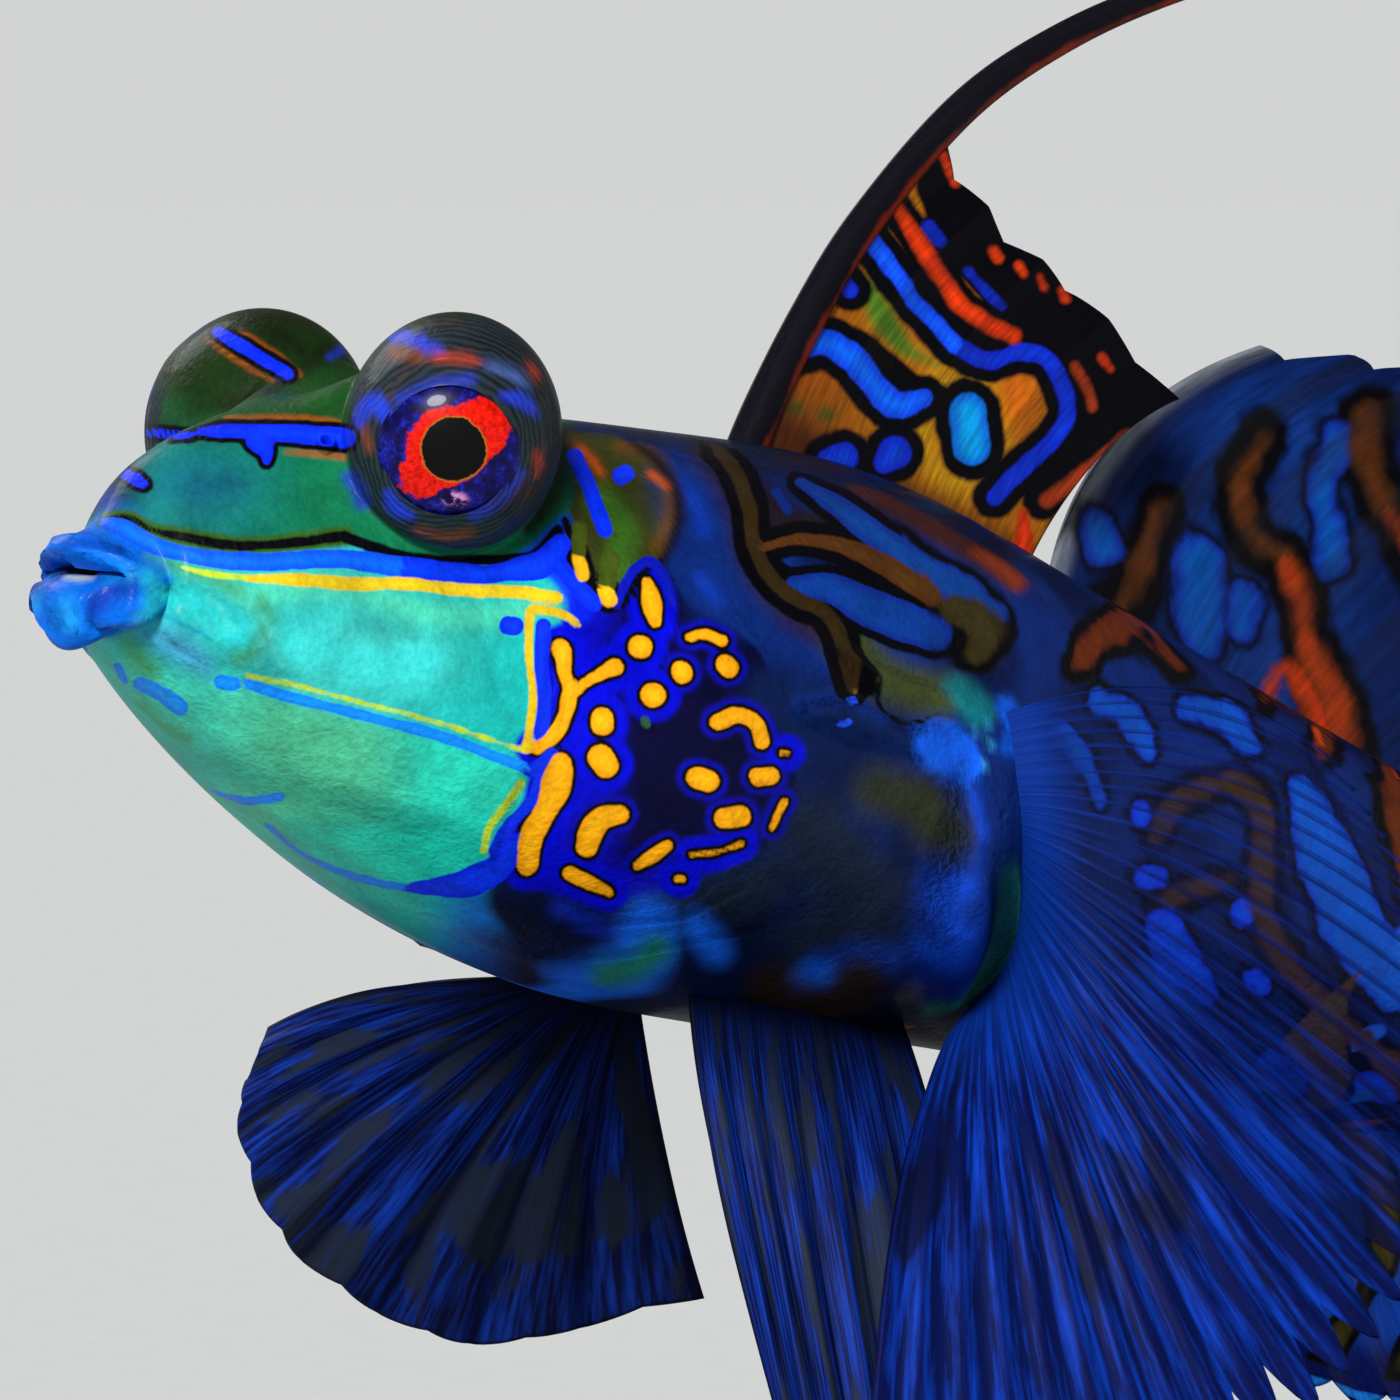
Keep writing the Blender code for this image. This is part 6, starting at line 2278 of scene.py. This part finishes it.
# %% Stand finishes
def ebonised_wood():
    """Ash stained black under satin lacquer: grain lines 0.5 mm, lacquer IOR 1.5."""
    finish, add = new_finish("ebonised_ash")
    place = add("ShaderNodeTexCoord").outputs["Object"]
    stretched = add("ShaderNodeMapping", {"Vector": place, "Scale": (0.12, 1.0, 1.0)})
    grain = add(
        "ShaderNodeTexNoise",
        {"Vector": stretched, "Scale": 1.9 * PER_METRE, "Detail": 6.0, "Roughness": 0.65},
    )
    colour = add("ShaderNodeValToRGB", (grain,))
    ramp_colours(colour.color_ramp, (0.36, "#120d0b"), (0.68, "#3a2c24"))
    bumped = add("ShaderNodeBump", {"Height": grain, "Strength": 0.35, "Distance": 0.08 * MM})
    shader = add("ShaderNodeBsdfPrincipled", {
        "Base Color": colour, "Roughness": 0.42, "IOR": 1.5, "Coat Weight": 0.3,
        "Coat Roughness": 0.25, "Normal": bumped,
    })
    add("ShaderNodeOutputMaterial", {"Surface": shader.outputs[0]})
    return finish


def turned_steel():
    """Stainless steel turned in a lathe: rings about 0.15 mm apart blur the highlight."""
    finish, add = new_finish("turned_stainless_steel")
    place = add("ShaderNodeTexCoord").outputs["Object"]
    squashed = add("ShaderNodeMapping", {"Vector": place, "Scale": (0.02, 0.02, 1.0)})
    rings = add("ShaderNodeTexNoise", {"Vector": squashed, "Scale": 6.5 * PER_METRE, "Detail": 4.0})
    rough = add("ShaderNodeMapRange", (rings, 0.3, 0.7, 0.22, 0.4))
    bumped = add("ShaderNodeBump", {"Height": rings, "Strength": 0.3, "Distance": 0.02 * MM})
    shader = add("ShaderNodeBsdfPrincipled", {
        "Base Color": rgba("#c4c6c8"), "Metallic": 1.0, "Roughness": rough, "Normal": bumped,
    })
    add("ShaderNodeOutputMaterial", {"Surface": shader.outputs[0]})
    return finish


ebonised_ash, turned_stainless_steel = ebonised_wood(), turned_steel()
for node, finish in (
    ("stand_base", ebonised_ash), ("stand_rod_front", turned_stainless_steel),
    ("stand_rod_rear", turned_stainless_steel),
):
    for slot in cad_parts[node].material_slots:
        slot.material = finish
    print(node, "finished as", finish.name)

# %% [markdown]
# ## Studio
#
# A pale round floor reaches far past the model, and the world is as pale just above
# the floor's edge, so the background is plain from every side. The photograph was lit
# by flash from above and a little to the left of the camera, so a wide sun with soft
# edges shines from there. A weaker one lights the model's other side.


# %% Floor
FLOOR_RADIUS = 6.0
FLOOR_DROP = 0.2 * MM


def round_floor(rings=24, around=96):
    """A disc just under the stand: rings whose radius grows with the square of their number."""
    out = FLOOR_RADIUS * np.linspace(0.02, 1.0, rings)[:, None] ** 2
    turn = np.linspace(0, 2 * np.pi, around, endpoint=False)[None]
    points = np.stack([out * np.cos(turn), out * np.sin(turn), 0 * out * turn - FLOOR_DROP], -1)
    flat = np.vstack([points.reshape(-1, 3), [[0.0, 0.0, -FLOOR_DROP]]])
    j = np.arange(around)
    middle = np.stack([np.full(around, rings * around), j, (j + 1) % around], -1)
    piece = mesh_piece("floor", flat, np.vstack([grid_faces(rings, around, True), middle]))
    finish, add = new_finish("matt_paper")
    place = add("ShaderNodeTexCoord").outputs["Object"]
    fibre = add("ShaderNodeTexNoise", {"Vector": place, "Scale": 0.9 * PER_METRE, "Detail": 4.0})
    tone = add("ShaderNodeMapRange", {"Value": fibre, "To Min": 0.97, "To Max": 1.03})
    colour = add(
        "ShaderNodeVectorMath", {0: tuple(linear("#c6c8c7")), "Scale": tone}, operation="SCALE"
    )
    shader = add(
        "ShaderNodeBsdfPrincipled",
        {"Base Color": colour, "Roughness": 0.95, "Specular IOR Level": 0.0},
    )
    add("ShaderNodeOutputMaterial", {"Surface": shader.outputs[0]})
    piece.data.materials.append(finish)


round_floor()
print("floor", 2 * FLOOR_RADIUS, "m across")

# %% Lights
SUNS = {
    "key": dict(azimuth=-54.0, height=30.0, strength=4.6, angle=16.0),
    "far_side": dict(azimuth=178.0, height=34.0, strength=1.5, angle=30.0),
}
for name, sun in SUNS.items():
    lamp = bpy.data.lights.new(name, "SUN")
    lamp.energy, lamp.angle = sun["strength"], math.radians(sun["angle"])
    made = bpy.data.objects.new(name, lamp)
    a, e = math.radians(sun["azimuth"]), math.radians(sun["height"])
    from_there = Vector((math.sin(a) * math.cos(e), -math.cos(a) * math.cos(e), math.sin(e)))
    made.location = from_there
    made.rotation_euler = (-from_there).to_track_quat("-Z", "Y").to_euler()
    bpy.context.scene.collection.objects.link(made)
    print(name, "sun:", sun["strength"], "from", sun["azimuth"], "degrees")

# %% World
HORIZON = (0.07, 0.30)
FLOOR_TONE, SKY_TONE = 0.7145, 0.14
world = bpy.data.worlds.new("studio")
world.use_nodes = True
add = node_adder(world.node_tree)
way = add("ShaderNodeTexCoord").outputs["Generated"]
height = add("ShaderNodeSeparateXYZ", (way,)).outputs["Z"]
above = add(
    "ShaderNodeMapRange", (height, *HORIZON, FLOOR_TONE, SKY_TONE),
    interpolation_type="SMOOTHSTEP",
)
background = world.node_tree.nodes["Background"]
background.inputs["Color"].default_value = rgba("#f4f6f5")
world.node_tree.links.new(above.outputs[0], background.inputs["Strength"])
bpy.context.scene.world = world
bpy.context.scene.view_settings.view_transform = "Standard"
bpy.context.scene.view_settings.look = "None"
print("world nodes:", len(world.node_tree.nodes))

# %% Sizes
bpy.context.view_layer.update()
